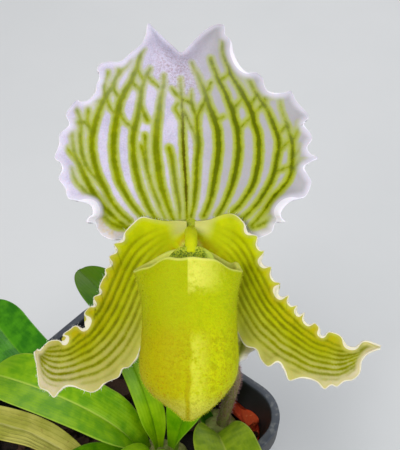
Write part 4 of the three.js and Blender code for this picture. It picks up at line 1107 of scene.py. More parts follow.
hair_paint = two_tone("hair", (238, 236, 240), (222, 220, 216), size=3, roughness=0.45, shine=0.4)
dorsal_hairs = [margin_hairs(dorsal_grid[0], dorsal_grid[3], shortest=0.35, longest=1.3)]
hair_piece("dorsal_hairs", in_bloom(dorsal_hairs), "dorsal_sepal", hair_paint)
for name, grid in (("petal_left", left_grid), ("petal_right", right_grid)):
    hairs = side_hairs(grid, first_row=16, inwards=2, shortest=0.3, longest=1.1)
    hair_piece(name + "_hairs", in_bloom(hairs), name, hair_paint)
synsepal_hairs = side_hairs(synsepal_grid, first_row=30, inwards=3, shortest=0.4, longest=1.2)
hair_piece("synsepal_hairs", in_bloom(synsepal_hairs), "synsepal", hair_paint)

# %% [markdown]
# ## Pouch
# The lip of a slipper orchid is a deep pouch with a curved rim and two small corners. It is a
# hollow body, so it is lofted from the toe up to the rim and back down inside. Its rings are
# squarish ovals. Between the measured rings the fine mesh follows a smooth curve at every angle,
# which rounds the toe and the shoulders without moving them. The rim waves a little in front, and
# behind its right corner it rises to a small ear.

# %% Pouch sizes
POUCH_RINGS = [  # up, middle across, middle out, half width, reach forward, reach back, squareness
    [-39.8, -0.4, 12.9, 0.6, 0.6, 0.6, 2],
    [-39.2, -0.2, 12.6, 1.6, 1.8, 1.9, 2],
    [-37.8, 0.1, 12, 3.6, 3.9, 4.2, 2],
    [-36, -0.1, 11.2, 6, 6.1, 6.4, 2.1],
    [-34.3, -0.4, 10.5, 7.9, 7.7, 7.7, 2.2],
    [-31.6, -0.4, 9.6, 9.8, 9.2, 8.7, 2.3],
    [-28, -0.3, 9, 10.4, 10.2, 9, 2.4],
    [-23.4, -0.2, 8.8, 10.1, 10.2, 8.6, 2.5],
    [-19.2, -0.2, 8.8, 9.9, 9.6, 7.8, 2.5],
    [-15, -0.3, 8.8, 10.1, 8.9, 7, 2.4],
    [-11.6, -0.4, 8.8, 10.8, 8.7, 6.6, 2.3],
]
POUCH_RIM = [  # across, up, out: from the middle in front, by one corner, to the claw behind
    [0, -6.3, 17.6], [4.6, -6.4, 16.8], [8.4, -8.2, 14.0], [11.3, -9.2, 10.2],
    [10.8, -8.6, 7.0], [8.4, -7.4, 4.0], [4.6, -5.4, 2.4], [0, -4.4, 2.0],
]
RIM_WAVE = 0.16
EAR_HEIGHT = 0.9
EAR_AT = 164  # degrees, counted from the left side over the back
EAR_REACH = 9
POUCH_MIDDLE = 9  # how far out of the face its middle lies at the rim
POUCH_WALL = 0.9
LIP_ROUND = np.array([0, 0.22, 0])  # how far the rounded edge stands over the rim
POUCH_SIDES = 160
POUCH_ROWS = 120
pouch_angles = all_round(POUCH_SIDES)
print("measured rings and points of the rim:", len(POUCH_RINGS), len(POUCH_RIM))

# %% Pouch shape
def pouch_ring(ring, inset):
    up, mid_x, mid_z, half, front, behind, square = ring
    c, s = np.cos(pouch_angles), np.sin(pouch_angles)
    reach = np.where(s > 0, front, behind)
    x = np.sign(c) * np.abs(c) ** (2 / square) * max(0.2, half - inset)
    z = np.sign(s) * np.abs(s) ** (2 / square) * np.maximum(0.2, reach - inset)
    return np.stack([mid_x + x, np.full_like(x, up), mid_z + z], 1)


def pouch_rim(inset):
    degrees = np.degrees(pouch_angles)
    from_front = np.abs(((degrees - 90 + 540) % 360) - 180) / 180
    p = curve_at(POUCH_RIM, from_front)
    right = np.where((degrees < 90) | (degrees > 270), 1, -1)
    across, up, out = right * p[:, 0], p[:, 1], p[:, 2]
    inward = unit(np.stack([across, np.zeros_like(up), out - POUCH_MIDDLE], 1)) * -inset
    wave = RIM_WAVE * np.sin(across * 1.15 + 0.6) * smooth((out - POUCH_MIDDLE) / 4)
    ear = EAR_HEIGHT * np.exp(-(((degrees + 180) % 360 - EAR_AT) / EAR_REACH) ** 2)
    return np.stack([across - 0.5, up + wave + ear, out], 1) + inward


def pouch_wall(rings, inset, rows):
    stations = [pouch_ring(ring, inset) for ring in rings] + [pouch_rim(inset)]
    shares = np.linspace(0, 1, rows) ** 0.8
    columns = [curve_at(points, shares, evened=True) for points in zip(*stations)]
    return np.array(columns).transpose(1, 0, 2)


inner_rings = [[ring[0] + POUCH_WALL * 0.6, *ring[1:]] for ring in POUCH_RINGS[2:]]
outside = pouch_wall(POUCH_RINGS, 0, POUCH_ROWS)
inside = pouch_wall(inner_rings, POUCH_WALL, POUCH_ROWS // 2)
lip = (outside[-1] + inside[-1]) / 2 + LIP_ROUND
pouch_rings = np.concatenate([outside, lip[None], inside[::-1]])
pouch_inside = np.concatenate([np.zeros(POUCH_ROWS), [0.5], np.ones(POUCH_ROWS // 2)])
to_rim = [np.linalg.norm(wall - wall[-1], axis=2) for wall in (outside, inside)]
to_rim = np.concatenate([to_rim[0], np.zeros((1, POUCH_SIDES)), to_rim[1][::-1]])
print("pouch, mm across, high and deep:", np.ptp(pouch_rings, axis=(0, 1)).round(1))

# %% [markdown]
# The pouch is a waxy yellow-green, deeper and browner on its left, with a faint keel down the
# middle, a paler band beside it, a painted highlight below the rim, small brown flecks near the
# toe, a pale rim and a browner lining, partly its own tint and partly painted shade inside the
# pouch. Its skin has a fine grain that catches the light, so the bump has two sizes of noise.

# %% Pouch finish
def pouch_finish():
    paint = Finish("pouch_skin", shine=0.06, through=0.08, depth=1.5)
    x, up, rim = paint.mark("x"), paint.mark("up"), paint.mark("rim")
    grain = paint.noise(0.4, 3, 0.65)
    mottle = paint.noise(1.1, 4, 0.65)
    wander = paint.noise(4.0, 4) - 0.5
    fray = mottle - 0.5
    low = (up + wander * 8).step(-17.0, -24.0)
    green = paint.noise(2.2, 4, 0.6).step(0.46, 0.68) * x.step(-9.0, 6.0)
    band = (x + wander * 2).step(-0.2, 0.6) * (x + fray * 3).step(5.0, 1.2)
    band = band * up.step(-20.0, -23.5) * up.step(-41.0, -35.0) * mottle.step(0.32, 0.56)
    # painted highlight: a lighter patch below the rim
    highlight_patch = x.step(-0.62, -0.34) * (x + fray * 8).step(8.0, 1.6)
    highlight_patch = highlight_patch * (up + fray * 6).step(-14.0, -10.2)
    keel = abs(x + 0.5 + wander * 0.8).step(0.7, 0.1) * up.step(-26.0, -33.0)
    toe = (up + fray * 5).step(-33.0, -39.0) * (1 - keel)
    flecks = paint.noise(0.8, 3).step(0.58, 0.7) * up.step(-27.0, -35.0) * abs(x).step(2.5, 6.5)
    # the inside of the pouch: browner, partly its own tint and partly painted shade
    lining_and_shade = paint.coats(
        paint.tints(mottle.step(0.4, 0.65), (164, 164, 8), (166, 128, 22)),
        (rim.step(1.8, 0.6), (208, 212, 96)),
    )
    body = paint.coats(
        paint.tints((x + wander * 9).step(-7.0, 8.0), (162, 164, 0), (186, 194, 0)),
        ((up + wander * 6).step(-24.0, -14.0) * 0.5, (162, 178, 0)),
        (grain.step(0.4, 0.66) * 0.3, (150, 152, 0)),
        (green * 0.5, (154, 172, 0)),
        (low * x.step(4.0, -6.0) * 0.5, (176, 164, 0)),
        (low * mottle.step(0.44, 0.64) * 0.4, (158, 142, 0)),
        (low * grain.step(0.54, 0.66) * 0.4, (140, 112, 0)),
        (band * 0.7, (206, 210, 62)),
        # painted highlight below the rim
        (highlight_patch * (mottle.step(0.3, 0.6) * 0.4 + 0.5), (214, 214, 84)),
        (keel * 0.5, (158, 140, 4)),
        (toe * 0.5, (206, 200, 92)),
        (flecks * 0.8, (160, 92, 4)),
        (rim.step(0.5, 0.05) * 0.55, (220, 224, 120)),
        # the browner inside, partly painted shade
        (paint.mark("inside") * 0.8, lining_and_shade),
    )
    relief = grain * 0.7 + mottle * 0.6 - keel * 0.5
    return paint.finished(body, 0.46 + grain * 0.2, relief, 0.16)


pouch_rings = pouch_rings[:, ::-1]
pouch_marks = {
    "x": pouch_rings[..., 0],
    "up": pouch_rings[..., 1],
    "rim": to_rim[:, ::-1],
    "inside": np.broadcast_to(pouch_inside[:, None], to_rim.shape),
}
points, faces = rings_body(pouch_rings)
make_piece("pouch_fine", from_bloom(points), faces, "pouch", pouch_finish(), pouch_marks)

# %% [markdown]
# Fuzz on the pouch: short hairs all over it, standing off the skin. They are too fine to see from
# the front, but they soften its outline.

# %% Pouch fuzz
FUZZ_LEAN = 0.25


def skin_hairs(grid, count, shortest, longest, radius, rng):
    """Short hairs at random places of a tube-like grid, standing off its skin."""
    rows, columns = grid.shape[:2]
    wrapped = np.concatenate([grid, grid[:, :1]], 1)
    j, i = rng.integers(1, rows - 2, count), rng.integers(0, columns, count)
    s, t = rng.random((count, 1)), rng.random((count, 1))
    near, far = (mix(wrapped[row, i], wrapped[row, i + 1], s) for row in (j, j + 1))
    ways = normals_of(wrapped)[j, i] + rng.normal(scale=FUZZ_LEAN, size=(count, 3))
    lengths = mix(shortest, longest, rng.random(count))
    return hair_body(mix(near, far, t), ways, lengths, radius, rng)


fuzz_random = np.random.default_rng(11)
fuzz_paint = two_tone("fuzz", (206, 206, 60), (190, 190, 30), size=2, roughness=0.5, shine=0.05)
fuzz = skin_hairs(pouch_rings[:POUCH_ROWS], count=9000, shortest=0.2, longest=0.5, radius=0.028,
                  rng=fuzz_random)
hair_piece("pouch_fuzz", in_bloom([fuzz]), "pouch", fuzz_paint)

# %% [markdown]
# ## Column
# In the middle of the bloom stands the column, a short bent neck that carries a shield-shaped
# plate, the staminode. The neck is a tube. The plate is turned like a dish: a profile spun round
# and then stretched to an oval, with small grains all over its middle.

# %% Column shape
COLUMN_PATH = [
    [0, -0.9, -2.4], [0, -1.1, 1.2], [0.1, -1.7, 4.4], [0.1, -3.4, 7.4], [0.1, -5.6, 8.6],
]
COLUMN_RADIUS = [1.4, 1.3]
COLUMN_STEPS = 40
COLUMN_SIDES = 32
SHIELD_AT = np.array([0.2, -8.0, 9.4])
SHIELD_REACH = np.array([5.3, 4.2, 1.3])
SHIELD_TILT = math.radians(-14)
SHIELD_PROFILE = [  # share of its half width, share of its half height
    [0.02, -0.95], [0.45, -0.86], [0.8, -0.56], [0.97, -0.14], [1.0, 0.12], [0.97, 0.3],
    [0.9, 0.42], [0.76, 0.5], [0.6, 0.55], [0.4, 0.6], [0.2, 0.64], [0.02, 0.66],
]
SHIELD_SIDES = 96
GRAIN_SIZE = 0.42
GRAIN_HEIGHT = 0.17


def rough(points, size, depth, seed):
    """A number for each point, between minus depth and depth, from noise of that size."""
    shift = Vector((seed * 17.3, seed * 5.1, seed * 9.7))
    values = [noise.noise(Vector(p) / size + shift) for p in points.reshape(-1, 3)]
    return np.reshape(values, points.shape[:-1]) * depth


profile = curve_at(SHIELD_PROFILE, np.linspace(0, 1, 70), evened=True)
out, height = profile[:, :1], profile[:, 1:]
spin = all_round(SHIELD_SIDES)
outline = 1 - 0.05 * np.exp(-(((spin - np.pi / 2) / 0.3) ** 2)) - 0.03 * np.cos(2 * spin)
flat = np.broadcast_to(height, (len(profile), SHIELD_SIDES))
disc = np.stack([out * np.cos(spin) * outline, out * np.sin(spin) * outline, flat], 2)
disc = disc * SHIELD_REACH
grains = rough(disc, GRAIN_SIZE, GRAIN_HEIGHT, seed=1)
disc[..., 2] += grains * (height > 0) * smooth((1.0 - out) / 0.08)
column_radius = mix(*COLUMN_RADIUS, np.linspace(0, 1, COLUMN_STEPS))
column_radius[0] *= 0.8
neck = tube_rings(even_curve(COLUMN_PATH, COLUMN_STEPS), column_radius, COLUMN_SIDES)
shield = turned(disc, SHIELD_TILT, "x") + SHIELD_AT
print("points of neck and shield:", neck.size // 3, shield.size // 3)

# %% [markdown]
# The shield is granular: dark green in its middle, yellower towards its upper edge and paler on
# its right. The neck is plain wax. Two marks tell the finish where on the shield it is, and a
# third whether it is on the shield at all.

# %% Column finish
def column_finish():
    paint = Finish("column_wax", shine=0.15, through=0.08, depth=1.0)
    across, upward = paint.mark("shield_x"), paint.mark("shield_y")
    grain = paint.noise(0.34, 2)
    granules = grain.step(0.36, 0.64)
    edging = paint.tints(granules, (128, 146, 6), (190, 198, 56))
    shield = paint.coats(
        paint.tints(granules, (82, 104, 4), (142, 156, 14)),
        ((upward + (grain - 0.5) * 0.5).step(0.45, 0.95), edging),
        ((across + upward * 0.25).step(0.6, 0.85) * 0.85, (190, 208, 78)),
    )
    neck = paint.tints(paint.noise(1.8, 3), (176, 188, 0), (204, 208, 6))
    wax = paint.tints(paint.mark("on_shield"), neck, shield)
    return paint.finished(wax, 0.4 + grain * 0.2, grain, 0.1)


def after_neck(values):
    """Marks of the shield, with zeros for the neck's points in front of them."""
    return np.pad(np.ravel(values), (neck.size // 3, 0))


column_marks = {
    "on_shield": after_neck(np.repeat(profile[:, 1] > 0, SHIELD_SIDES)),
    "shield_x": after_neck(disc[..., 0] / SHIELD_REACH[0]),
    "shield_y": after_neck(disc[..., 1] / SHIELD_REACH[1]),
}
points, faces = joined(rings_body(neck), rings_body(shield))
make_piece("column_fine", from_bloom(points), faces, "column", column_finish(),
           column_marks)

# %% [markdown]
# ## Stalk
# The scape rises out of its fan of leaves and leans forward to hold the bloom over the pot's front
# edge. It is purple-brown and hairy. Above the bract comes the ovary, which has six blunt ribs.
# Both are tubes along the same smooth paths as the solids.

# %% Stalk shape
SCAPE_PATH = [
    [37.4, 6.4, 68], [40.2, 8.6, 84], [42.2, 3, 107], [39.2, -10, 136],
    [35.4, -26, 170], [31.8, -39.8, 202], [30.1, -46.4, 216.6],
]
OVARY_PATH = [
    [30.07, -46.53, 216.9], [29.2, -49.9, 224.6], [28.2, -53.4, 234.6],
    from_bloom([0, -0.8, -8]), from_bloom([0, 0, -3.4]),
]
SCAPE_RADIUS = [2.3, 1.9]
SCAPE_KNOTS = 0.08  # how much its thickness comes and goes
OVARY_RADIUS = [1.7, 2.2, 2.3, 2.2, 1.9, 2.3]
OVARY_RIBS = 6
RIB_DEPTH = 0.05  # as a share of its radius
RECEPTACLE_AT = from_bloom([0, 0, -2.6])
RECEPTACLE_RADIUS = 2.6
SCAPE_STEPS, SCAPE_SIDES = 160, 28
OVARY_STEPS, OVARY_SIDES = 60, 48


def ball_rings(radius, rows=24, sides=40):
    polar = np.linspace(0.04, np.pi - 0.04, rows)[:, None]
    turn = all_round(sides)[None, :]
    across, height = np.sin(polar), -np.cos(polar) * np.ones_like(turn)
    return radius * np.stack([across * np.cos(turn), across * np.sin(turn), height], 2)


scape_share, ovary_share = np.linspace(0, 1, SCAPE_STEPS), np.linspace(0, 1, OVARY_STEPS)
scape_radius = mix(*SCAPE_RADIUS, scape_share) + SCAPE_KNOTS * np.sin(60 * scape_share)
ovary_radius = along(OVARY_RADIUS, ovary_share) * 0.97
scape_line, ovary_line = even_curve(SCAPE_PATH, SCAPE_STEPS), even_curve(OVARY_PATH, OVARY_STEPS)
scape_rings = tube_rings(scape_line, scape_radius, SCAPE_SIDES)
ovary_rings = tube_rings(ovary_line, ovary_radius, OVARY_SIDES, OVARY_RIBS, RIB_DEPTH)
receptacle = ball_rings(RECEPTACLE_RADIUS) + RECEPTACLE_AT
print("scape, mm long:", run_of(scape_line)[-1].round(1))

# %% [markdown]
# The skin changes its tint from foot to top, with streaks and small dark spots. The ball on which
# petals and sepals stand is yellow-green like them. Soft reddish hairs cover the rest.

# %% Stalk
def stalk_finish(name, low, high, blots):
    paint = Finish(name, shine=0.3, through=0.08, depth=1.0)
    streaks = paint.noise(1.2, 3)
    body = paint.coats(
        paint.tints(paint.mark("share"), low, high),
        (streaks.step(0.42, 0.66) * 0.6, blots),
        (paint.mark("head"), (168, 180, 30)),
        (paint.noise(0.4, 2).step(0.55, 0.7) * 0.35, (84, 44, 44)),
    )
    return paint.finished(body, 0.55 + streaks * 0.2, paint.noise(0.5, 3), 0.15)


scape_paint = stalk_finish("scape_skin", (128, 140, 62), (132, 88, 84), (112, 70, 70))
scape_marks = {
    "share": np.repeat(scape_share ** 0.6, SCAPE_SIDES), "head": np.zeros(scape_rings.size // 3),
}
points, faces = rings_body(scape_rings)
make_piece("scape_fine", points, faces, "scape", scape_paint, scape_marks)

ovary_paint = stalk_finish("ovary_skin", (126, 104, 74), (150, 160, 84), (120, 84, 78))
head = np.repeat([0.0, 1.0], [ovary_rings.size // 3, receptacle.size // 3])
share = np.concatenate([np.repeat(ovary_share, OVARY_SIDES), np.ones(receptacle.size // 3)])
points, faces = joined(rings_body(ovary_rings), rings_body(receptacle))
ovary_marks = {"share": share, "head": head}
make_piece("ovary_fine", points, faces, "ovary", ovary_paint, ovary_marks)

STALK_HAIRS = {  # skin, how many, shortest and longest
    "scape": (scape_rings, 3200, 0.5, 1.2), "ovary": (ovary_rings, 900, 0.4, 0.9),
}
STALK_HAIR_RADIUS = 0.045
stalk_random = np.random.default_rng(5)
stalk_hair = two_tone("stalk_hair", (196, 160, 158), (150, 104, 112), size=4, roughness=0.5)
for name, hairs in STALK_HAIRS.items():
    body = skin_hairs(*hairs, STALK_HAIR_RADIUS, stalk_random)
    hair_piece(name + "_hairs", [body], name, stalk_hair)

# %% [markdown]
# ## Bract
# A single green leaflet wraps the foot of the ovary. It is a blade bent into a sheath that opens
# towards its tip.

# %% Bract
BRACT_PATH = [[31.1, -42.4, 207.6], [30.07, -46.5, 216.8], [29.1, -50, 225]]
BRACT_OPEN = [100, 250]  # degrees left open at its foot and at its tip
BRACT_RADIUS = [2.65, 3.7]
BRACT_THICKNESS = 0.6
BRACT_ROWS, BRACT_COLUMNS = 60, 40

share = np.linspace(0, 1, BRACT_ROWS)
spread = np.radians(360 - mix(*BRACT_OPEN, smooth((share - 0.35) / 0.65)))
bract_line = even_curve(BRACT_PATH, BRACT_ROWS)
ahead = unit(np.gradient(bract_line, axis=0))
left = unit(np.cross(ahead, unit(np.cross(ahead, [1.0, 0, 0]))))
front = np.cross(ahead, left)
angle = np.linspace(-0.5, 0.5, BRACT_COLUMNS) * spread[:, None] + np.pi / 2
radius = mix(*BRACT_RADIUS, smooth(share * 1.3))[:, None]
around = np.cos(angle)[..., None] * left[:, None] + np.sin(angle)[..., None] * front[:, None]
bract_grid = bract_line[:, None] + around * (radius + 0.06 * np.cos(angle * 9))[..., None]
bract_marks = place_marks(share, np.linspace(-1, 1, BRACT_COLUMNS))
print("bract grid:", bract_grid.shape[:2])

# %% Bract finish
def bract_finish():
    paint = Finish("bract_green", shine=0.35)
    ribs = (paint.mark("side") * 26).wave().step(0.2, 1.0)
    body = paint.coats(
        paint.tints(paint.noise(2, 3), (134, 160, 52), (112, 138, 40)),
        (ribs * 0.4, (82, 106, 26)),
        (paint.mark("share").step(0.6, 1.0) * 0.5, (140, 104, 72)),
    )
    return paint.finished(body, 0.5 + ribs * 0.1, ribs, 0.12)


blade_piece("bract", bract_grid, BRACT_THICKNESS, bract_finish(), bract_marks)

# %% [markdown]
# ## Leaves
# The strap leaves stand in fans, folded like a keel at the foot and flatter towards the tip. Each
# one is a spine whose heading and slope change evenly from foot to tip, with a folded blade on it.
# The fine blades add a groove over the midrib, thin edges and a slow waviness of a real leaf.

# %% Leaf sizes
CROWN_TOP = 74
GROWTHS = {  # middle, compass of the long axis, half length, half width and half height
    "flowering": ([37, 6], 100, [12, 9, 8]),
    "middle": ([16, -6], 170, [13, 10.5, 8]),
    "old": ([1, -21], 200, [10, 8, 7]),
}
LEAVES = {  # growth, distance from its middle, compass at foot and tip, slope, length, width
    "leaf_back_left": ("middle", 9.5, [162, 115], [34, -8], 90, 22.7),
    "leaf_left": ("middle", 7.2, [184, 152], [78, -20], 73, 24),
    "leaf_rear": ("middle", 3.6, [118, 128], [84, 32], 48, 11),
    "leaf_upright": ("middle", 5.6, [20, 84], [86, 28], 80, 17.2),
    "leaf_front_left": ("middle", 9.6, [213, 250], [66, -42], 80, 20.7),
    "leaf_young": ("middle", 5.6, [249, 246], [88, -12], 62, 11.6),
    "leaf_back": ("flowering", 6.4, [146, 136], [60, 9], 77, 19),
    "leaf_front_right": ("flowering", 6.4, [265, 316], [76, -64], 114, 22.5),
    "leaf_flowering_front": ("flowering", 9.8, [258, 246], [48, -40], 116, 18),
    "leaf_withered": ("old", 6.4, [149, 199], [42, -28], 96, 15),
    "leaf_old_front": ("old", 5.4, [262, 240], [46, -40], 112, 18),
}
LEAF_THICKNESS = 1.2
LEAF_SUNK = 0.8
LEAF_FOLD = (44, 14)  # degrees at the foot and further out
LEAF_GROOVE = 0.35
LEAF_FOOT = 0.42  # width at its foot, as a share of the full one
LEAF_END = 0.8  # share of its length at which it starts to round off
LEAF_STEPS = 120
LEAF_COLUMNS = 33
print("leaves to make:", len(LEAVES))

# %% Leaf shapes
def crown_height(growth, distance, compass):
    _, turn, reach = GROWTHS[growth]
    x = distance * math.cos(math.radians(compass - turn)) / reach[0]
    y = distance * math.sin(math.radians(compass - turn)) / reach[1]
    return CROWN_TOP - reach[2] + reach[2] * math.sqrt(max(0, 1 - x * x - y * y))


def leaf_grid(growth, at, turn, climb, length, width, waviness):
    (middle_x, middle_y), start = GROWTHS[growth][0], math.radians(turn[0])
    foot = [middle_x + at * math.cos(start), middle_y + at * math.sin(start),
            crown_height(growth, at, turn[0]) - LEAF_SUNK]
    share = np.linspace(0, 1, LEAF_STEPS + 1)
    heading, slope = np.radians(mix(*turn, share)), np.radians(mix(*climb, share))
    flat = np.stack([np.cos(heading), np.sin(heading)], 1) * np.cos(slope)[:, None]
    ahead = np.column_stack([flat, np.sin(slope)])
    side = np.stack([np.sin(heading), -np.cos(heading), np.zeros_like(heading)], 1)
    over = np.cross(side, ahead)
    run = np.concatenate([np.zeros((1, 3)), np.cumsum(ahead[:-1], axis=0)]) * length / LEAF_STEPS
    tip = np.sqrt(np.maximum(0.004, 1 - (np.maximum(share - LEAF_END, 0) / 0.2) ** 2))
    half = width / 2 * mix(LEAF_FOOT, 1, smooth(share / 0.36)) * tip * mix(1, 0.93, share)
    fold = np.radians(mix(*LEAF_FOLD, smooth(share / 0.45)))
    t = np.linspace(-1, 1, LEAF_COLUMNS)
    groove = -LEAF_GROOVE * np.exp(-((t * 9) ** 2)) * smooth(share / 0.1)[:, None] * tip[:, None]
    sway = waviness * np.sin(share[:, None] * 9 + np.sign(t) * 1.3)
    sway = sway * smooth(np.abs(t)) * smooth(share * 3)[:, None]
    out = (half * np.cos(fold))[:, None] * t
    rise = (half * np.sin(fold))[:, None] * np.abs(t) ** 1.25 + groove + sway
    centre = np.array(foot) + run
    grid = centre[:, None] + side[:, None] * out[..., None] + over[:, None] * rise[..., None]
    return grid, share, t, half


grid, *_ = leaf_grid(*LEAVES["leaf_left"], waviness=0)
print("the left leaf reaches up to, mm:", grid[..., 2].max().round(1))

# %% [markdown]
# A leaf's green isn't even: fine veins run along it, faint blocks of darker green lie across them,
# the midrib is a paler line, the margin a thin light one, and the underside is paler all over.
# Every leaf here has its own two greens, since the young ones are yellower than the old ones. Where
# a leaf lies in the shade of the others, its greens or its tip are made darker, as painted shade.

# %% Leaf finish
LEAF_FINISHES = {  # deep green, light green, midrib, its strength, tip, share of it, gloss
    "leaf_back_left": ((40, 112, 0), (72, 146, 6), (112, 170, 40), 0.35, (92, 146, 20), 0.08, 0.12),
    # leaf_left: its strong pale midrib is partly a painted highlight along the fold
    "leaf_left": ((92, 146, 0), (128, 172, 4), (164, 192, 70), 0.9, (124, 166, 20), 0.15, 0.15),
    # leaf_rear: its dark tip tint over most of its length is painted shade
    "leaf_rear": ((120, 170, 0), (146, 188, 6), (156, 192, 50), 0.3, (14, 62, 0), 0.66, 0.1),
    "leaf_upright": ((92, 156, 0), (124, 178, 4), (146, 184, 50), 0.5, (128, 170, 24), 0.15, 0.12),
    "leaf_front_left": ((66, 124, 0), (98, 152, 6), (132, 172, 40), 0.5, (110, 150, 20), 0.1, 0.1),
    "leaf_young": ((112, 158, 0), (138, 176, 8), (168, 192, 60), 0.4, (156, 184, 40), 0.2, 0.12),
    # leaf_back: its dark greens are painted shade
    "leaf_back": ((36, 88, 0), (58, 112, 0), (100, 146, 30), 0.3, (76, 108, 0), 0.3, 0.1),
    "leaf_front_right": (
        (108, 138, 8), (140, 166, 22), (160, 178, 60), 0.9, (134, 158, 30), 0.1, 0.1),
    "leaf_flowering_front": (
        (76, 124, 4), (104, 148, 14), (146, 172, 56), 0.5, (124, 144, 34), 0.1, 0.1),
    "leaf_old_front": (
        (76, 122, 8), (104, 142, 22), (146, 168, 60), 0.5, (142, 140, 44), 0.14, 0.1),
}


def streaks_of(paint, length, width, squeeze, size, detail):
    """Noise drawn out along the leaf, whose length counts less than its width."""
    strip = paint.node("ShaderNodeCombineXYZ", None, {"X": length * squeeze, "Y": width, "Z": 0.0})
    return paint.noise(size, detail, place=strip)


def leaf_finish(name, deep, light, midrib_tint, midrib, tip_tint, tip_share, gloss):
    paint = Finish(name, shine=0.15)
    paint.feed({"Coat Roughness": 0.3, "Coat Weight": gloss})
    side, share, width = paint.mark("side"), paint.mark("share"), paint.mark("width")
    streaks = streaks_of(paint, paint.mark("length"), width, squeeze=0.16, size=1.1, detail=3)
    blocks = paint.noise(5, 3)
    fine_veins = (width * 5.2 + streaks * 1.5).wave().step(-0.4, 1.0)
    line = abs(width).step(0.9, 0.1)
    body = paint.coats(
        paint.tints(blocks.step(0.35, 0.65), deep, light),
        (streaks.step(0.45, 0.75) * 0.3, light),
        (fine_veins * 0.08, deep),
        (line * midrib, midrib_tint),
        (abs(side).step(0.955, 0.99) * 0.5, midrib_tint),
        ((share + (streaks - 0.5) * 0.2).step(1 - tip_share, 1.0) * 0.8, tip_tint),
        ((1 - paint.mark("face")) * 0.35, midrib_tint),
    )
    relief = fine_veins * 0.2 + blocks * 0.6 - line * 0.6
    return paint.finished(body, 0.34 + streaks * 0.2, relief, 0.16)


print("green leaves with tints of their own:", len(LEAF_FINISHES))

# %% [markdown]
# The oldest leaf has withered. Its yellow is blotched with brown, and where the tissue has shrunk
# between the veins it is wrinkled along its whole length.

# %% Withered leaf finish
def withered_finish():
    paint = Finish("leaf_dry", shine=0.3)
    width = paint.mark("width")
    streaks = streaks_of(paint, paint.mark("length"), width, squeeze=0.12, size=1.4, detail=4)
    wrinkles = (width * 3.6 + streaks * 3).wave().step(-0.4, 1.0)
    body = paint.coats(
        paint.tints(paint.noise(9, 3).step(0.35, 0.65), (196, 190, 92), (162, 162, 58)),
        (streaks.step(0.5, 0.76) * 0.3, (140, 134, 42)),
        (paint.noise(2.4, 4).step(0.62, 0.76) * 0.5, (140, 108, 50)),
        (paint.mark("share").step(0.75, 1.0) * 0.5, (160, 128, 66)),
        (abs(width).step(0.9, 0.1) * 0.5, (226, 220, 150)),
    )
    return paint.finished(body, 0.5 + streaks * 0.25, wrinkles * 0.4 + streaks * 0.5, 0.3)


withered_paint = withered_finish()
print("nodes in the withered leaf's finish:", len(withered_paint.node_tree.nodes))

# %% Leaves
RIPPLE_SIZE, RIPPLE_DEPTH = 7.0, 0.9
WITHERED_WAVE = 0.7

for number, (name, sizes) in enumerate(LEAVES.items()):
    withered = name == "leaf_withered"
    waviness = WITHERED_WAVE if withered else 0.35 + 0.1 * (number % 3)
    grid, share, t, half = leaf_grid(*sizes, waviness)
    if withered:
        ripple = rough(grid, RIPPLE_SIZE, RIPPLE_DEPTH, seed=3)
        grid = grid + normals_of(grid) * (ripple * smooth(share * 4)[:, None])[..., None]
        paint = withered_paint
    else:
        paint = leaf_finish(name + "_green", *LEAF_FINISHES[name])
    marks = place_marks(share, t)
    marks |= {"length": marks["share"] * sizes[4], "width": half[:, None] * t}
    to_edge = mix(0.3, 1, smooth((1 - np.abs(t)) / 0.7))
    to_tip = mix(1, 0.5, smooth((share - 0.9) / 0.1))
    thickness = LEAF_THICKNESS * to_edge * to_tip[:, None]
    blade_piece(name, grid, thickness, paint, marks)

# %% [markdown]
# ## Crowns
# At the foot of each fan the leaves' sheaths overlap in a short flattened clump. It is an egg of
# rings with a few shallow folds round it, so that it reads as sheath over sheath.

# %% Crowns
CROWN_FOLDS = 7
FOLD_DEPTH = 0.07


def crown_finish():
    paint = Finish("sheath", shine=0.35)
    fibres = paint.noise(1.3, 4)
    body = paint.coats(
        paint.tints(paint.noise(5, 3).step(0.35, 0.65), (122, 136, 62), (158, 160, 92)),
        (fibres.step(0.5, 0.7) * 0.6, (120, 92, 52)),
        (paint.mark("height").step(0.1, -0.5) * 0.8, (80, 58, 38)),
    )
    return paint.finished(body, 0.6 + fibres * 0.2, fibres, 0.3)


crown_paint = crown_finish()
for name, ((x, y), turn, reach) in GROWTHS.items():
    egg = ball_rings(1, rows=40, sides=84)
    height = egg[..., 2]
    around = np.arctan2(egg[..., 1], egg[..., 0])
    folds = np.abs(np.sin(around * CROWN_FOLDS / 2 + height * 1.6)) ** 6 * smooth(1 - height ** 2)
    rings = egg * (1 - FOLD_DEPTH * folds)[..., None] * reach
    at = np.array([x, y, CROWN_TOP - reach[2]])
    points, faces = rings_body(turned(rings, math.radians(turn)) + at)
    crown = f"crown_{name}"
    make_piece(crown + "_fine", points, faces, crown, crown_paint, {"height": height})

# %% [markdown]
# ## Pot
# A square nursery pot of thin black plastic with rounded corners and a turned-out band under its
# lip. It is lofted from rounded squares, up the outside and down the inside, and four drain holes
# are drilled through its floor. A bevel modifier on a box would not taper, nor round the corners
# more at the top than at the foot.

# %% Pot shape
POT_TURN = math.radians(49.7)
POT_HEIGHT = 85
POT_TOP = 94
POT_FOOT = 64
POT_WALL = 1.8
POT_FLOOR = 2.4
RIM_BAND = 9
RIM_STEP = 2.4
CORNER = 17
CORNER_STEPS = 14
BAND_FOOT = POT_HEIGHT - RIM_BAND
BAND_PROFILE = [(1.6, 0.12), (1.1, 0.6)]  # narrower by, height over the band's foot
LIP_PROFILE = [  # narrower by, depth below the top
    (0.1, 1.4), (0, 0.9), (0.2, 0.5), (0.7, 0.14), (1.4, 0), (5.2, 0), (5.9, 0.14), (6.3, 0.5),
    (6.4, 1),
]
FOOT_PROFILE = [(2, 0), (0.9, 0.25), (0.2, 0.8)]  # narrower by, height over the ground


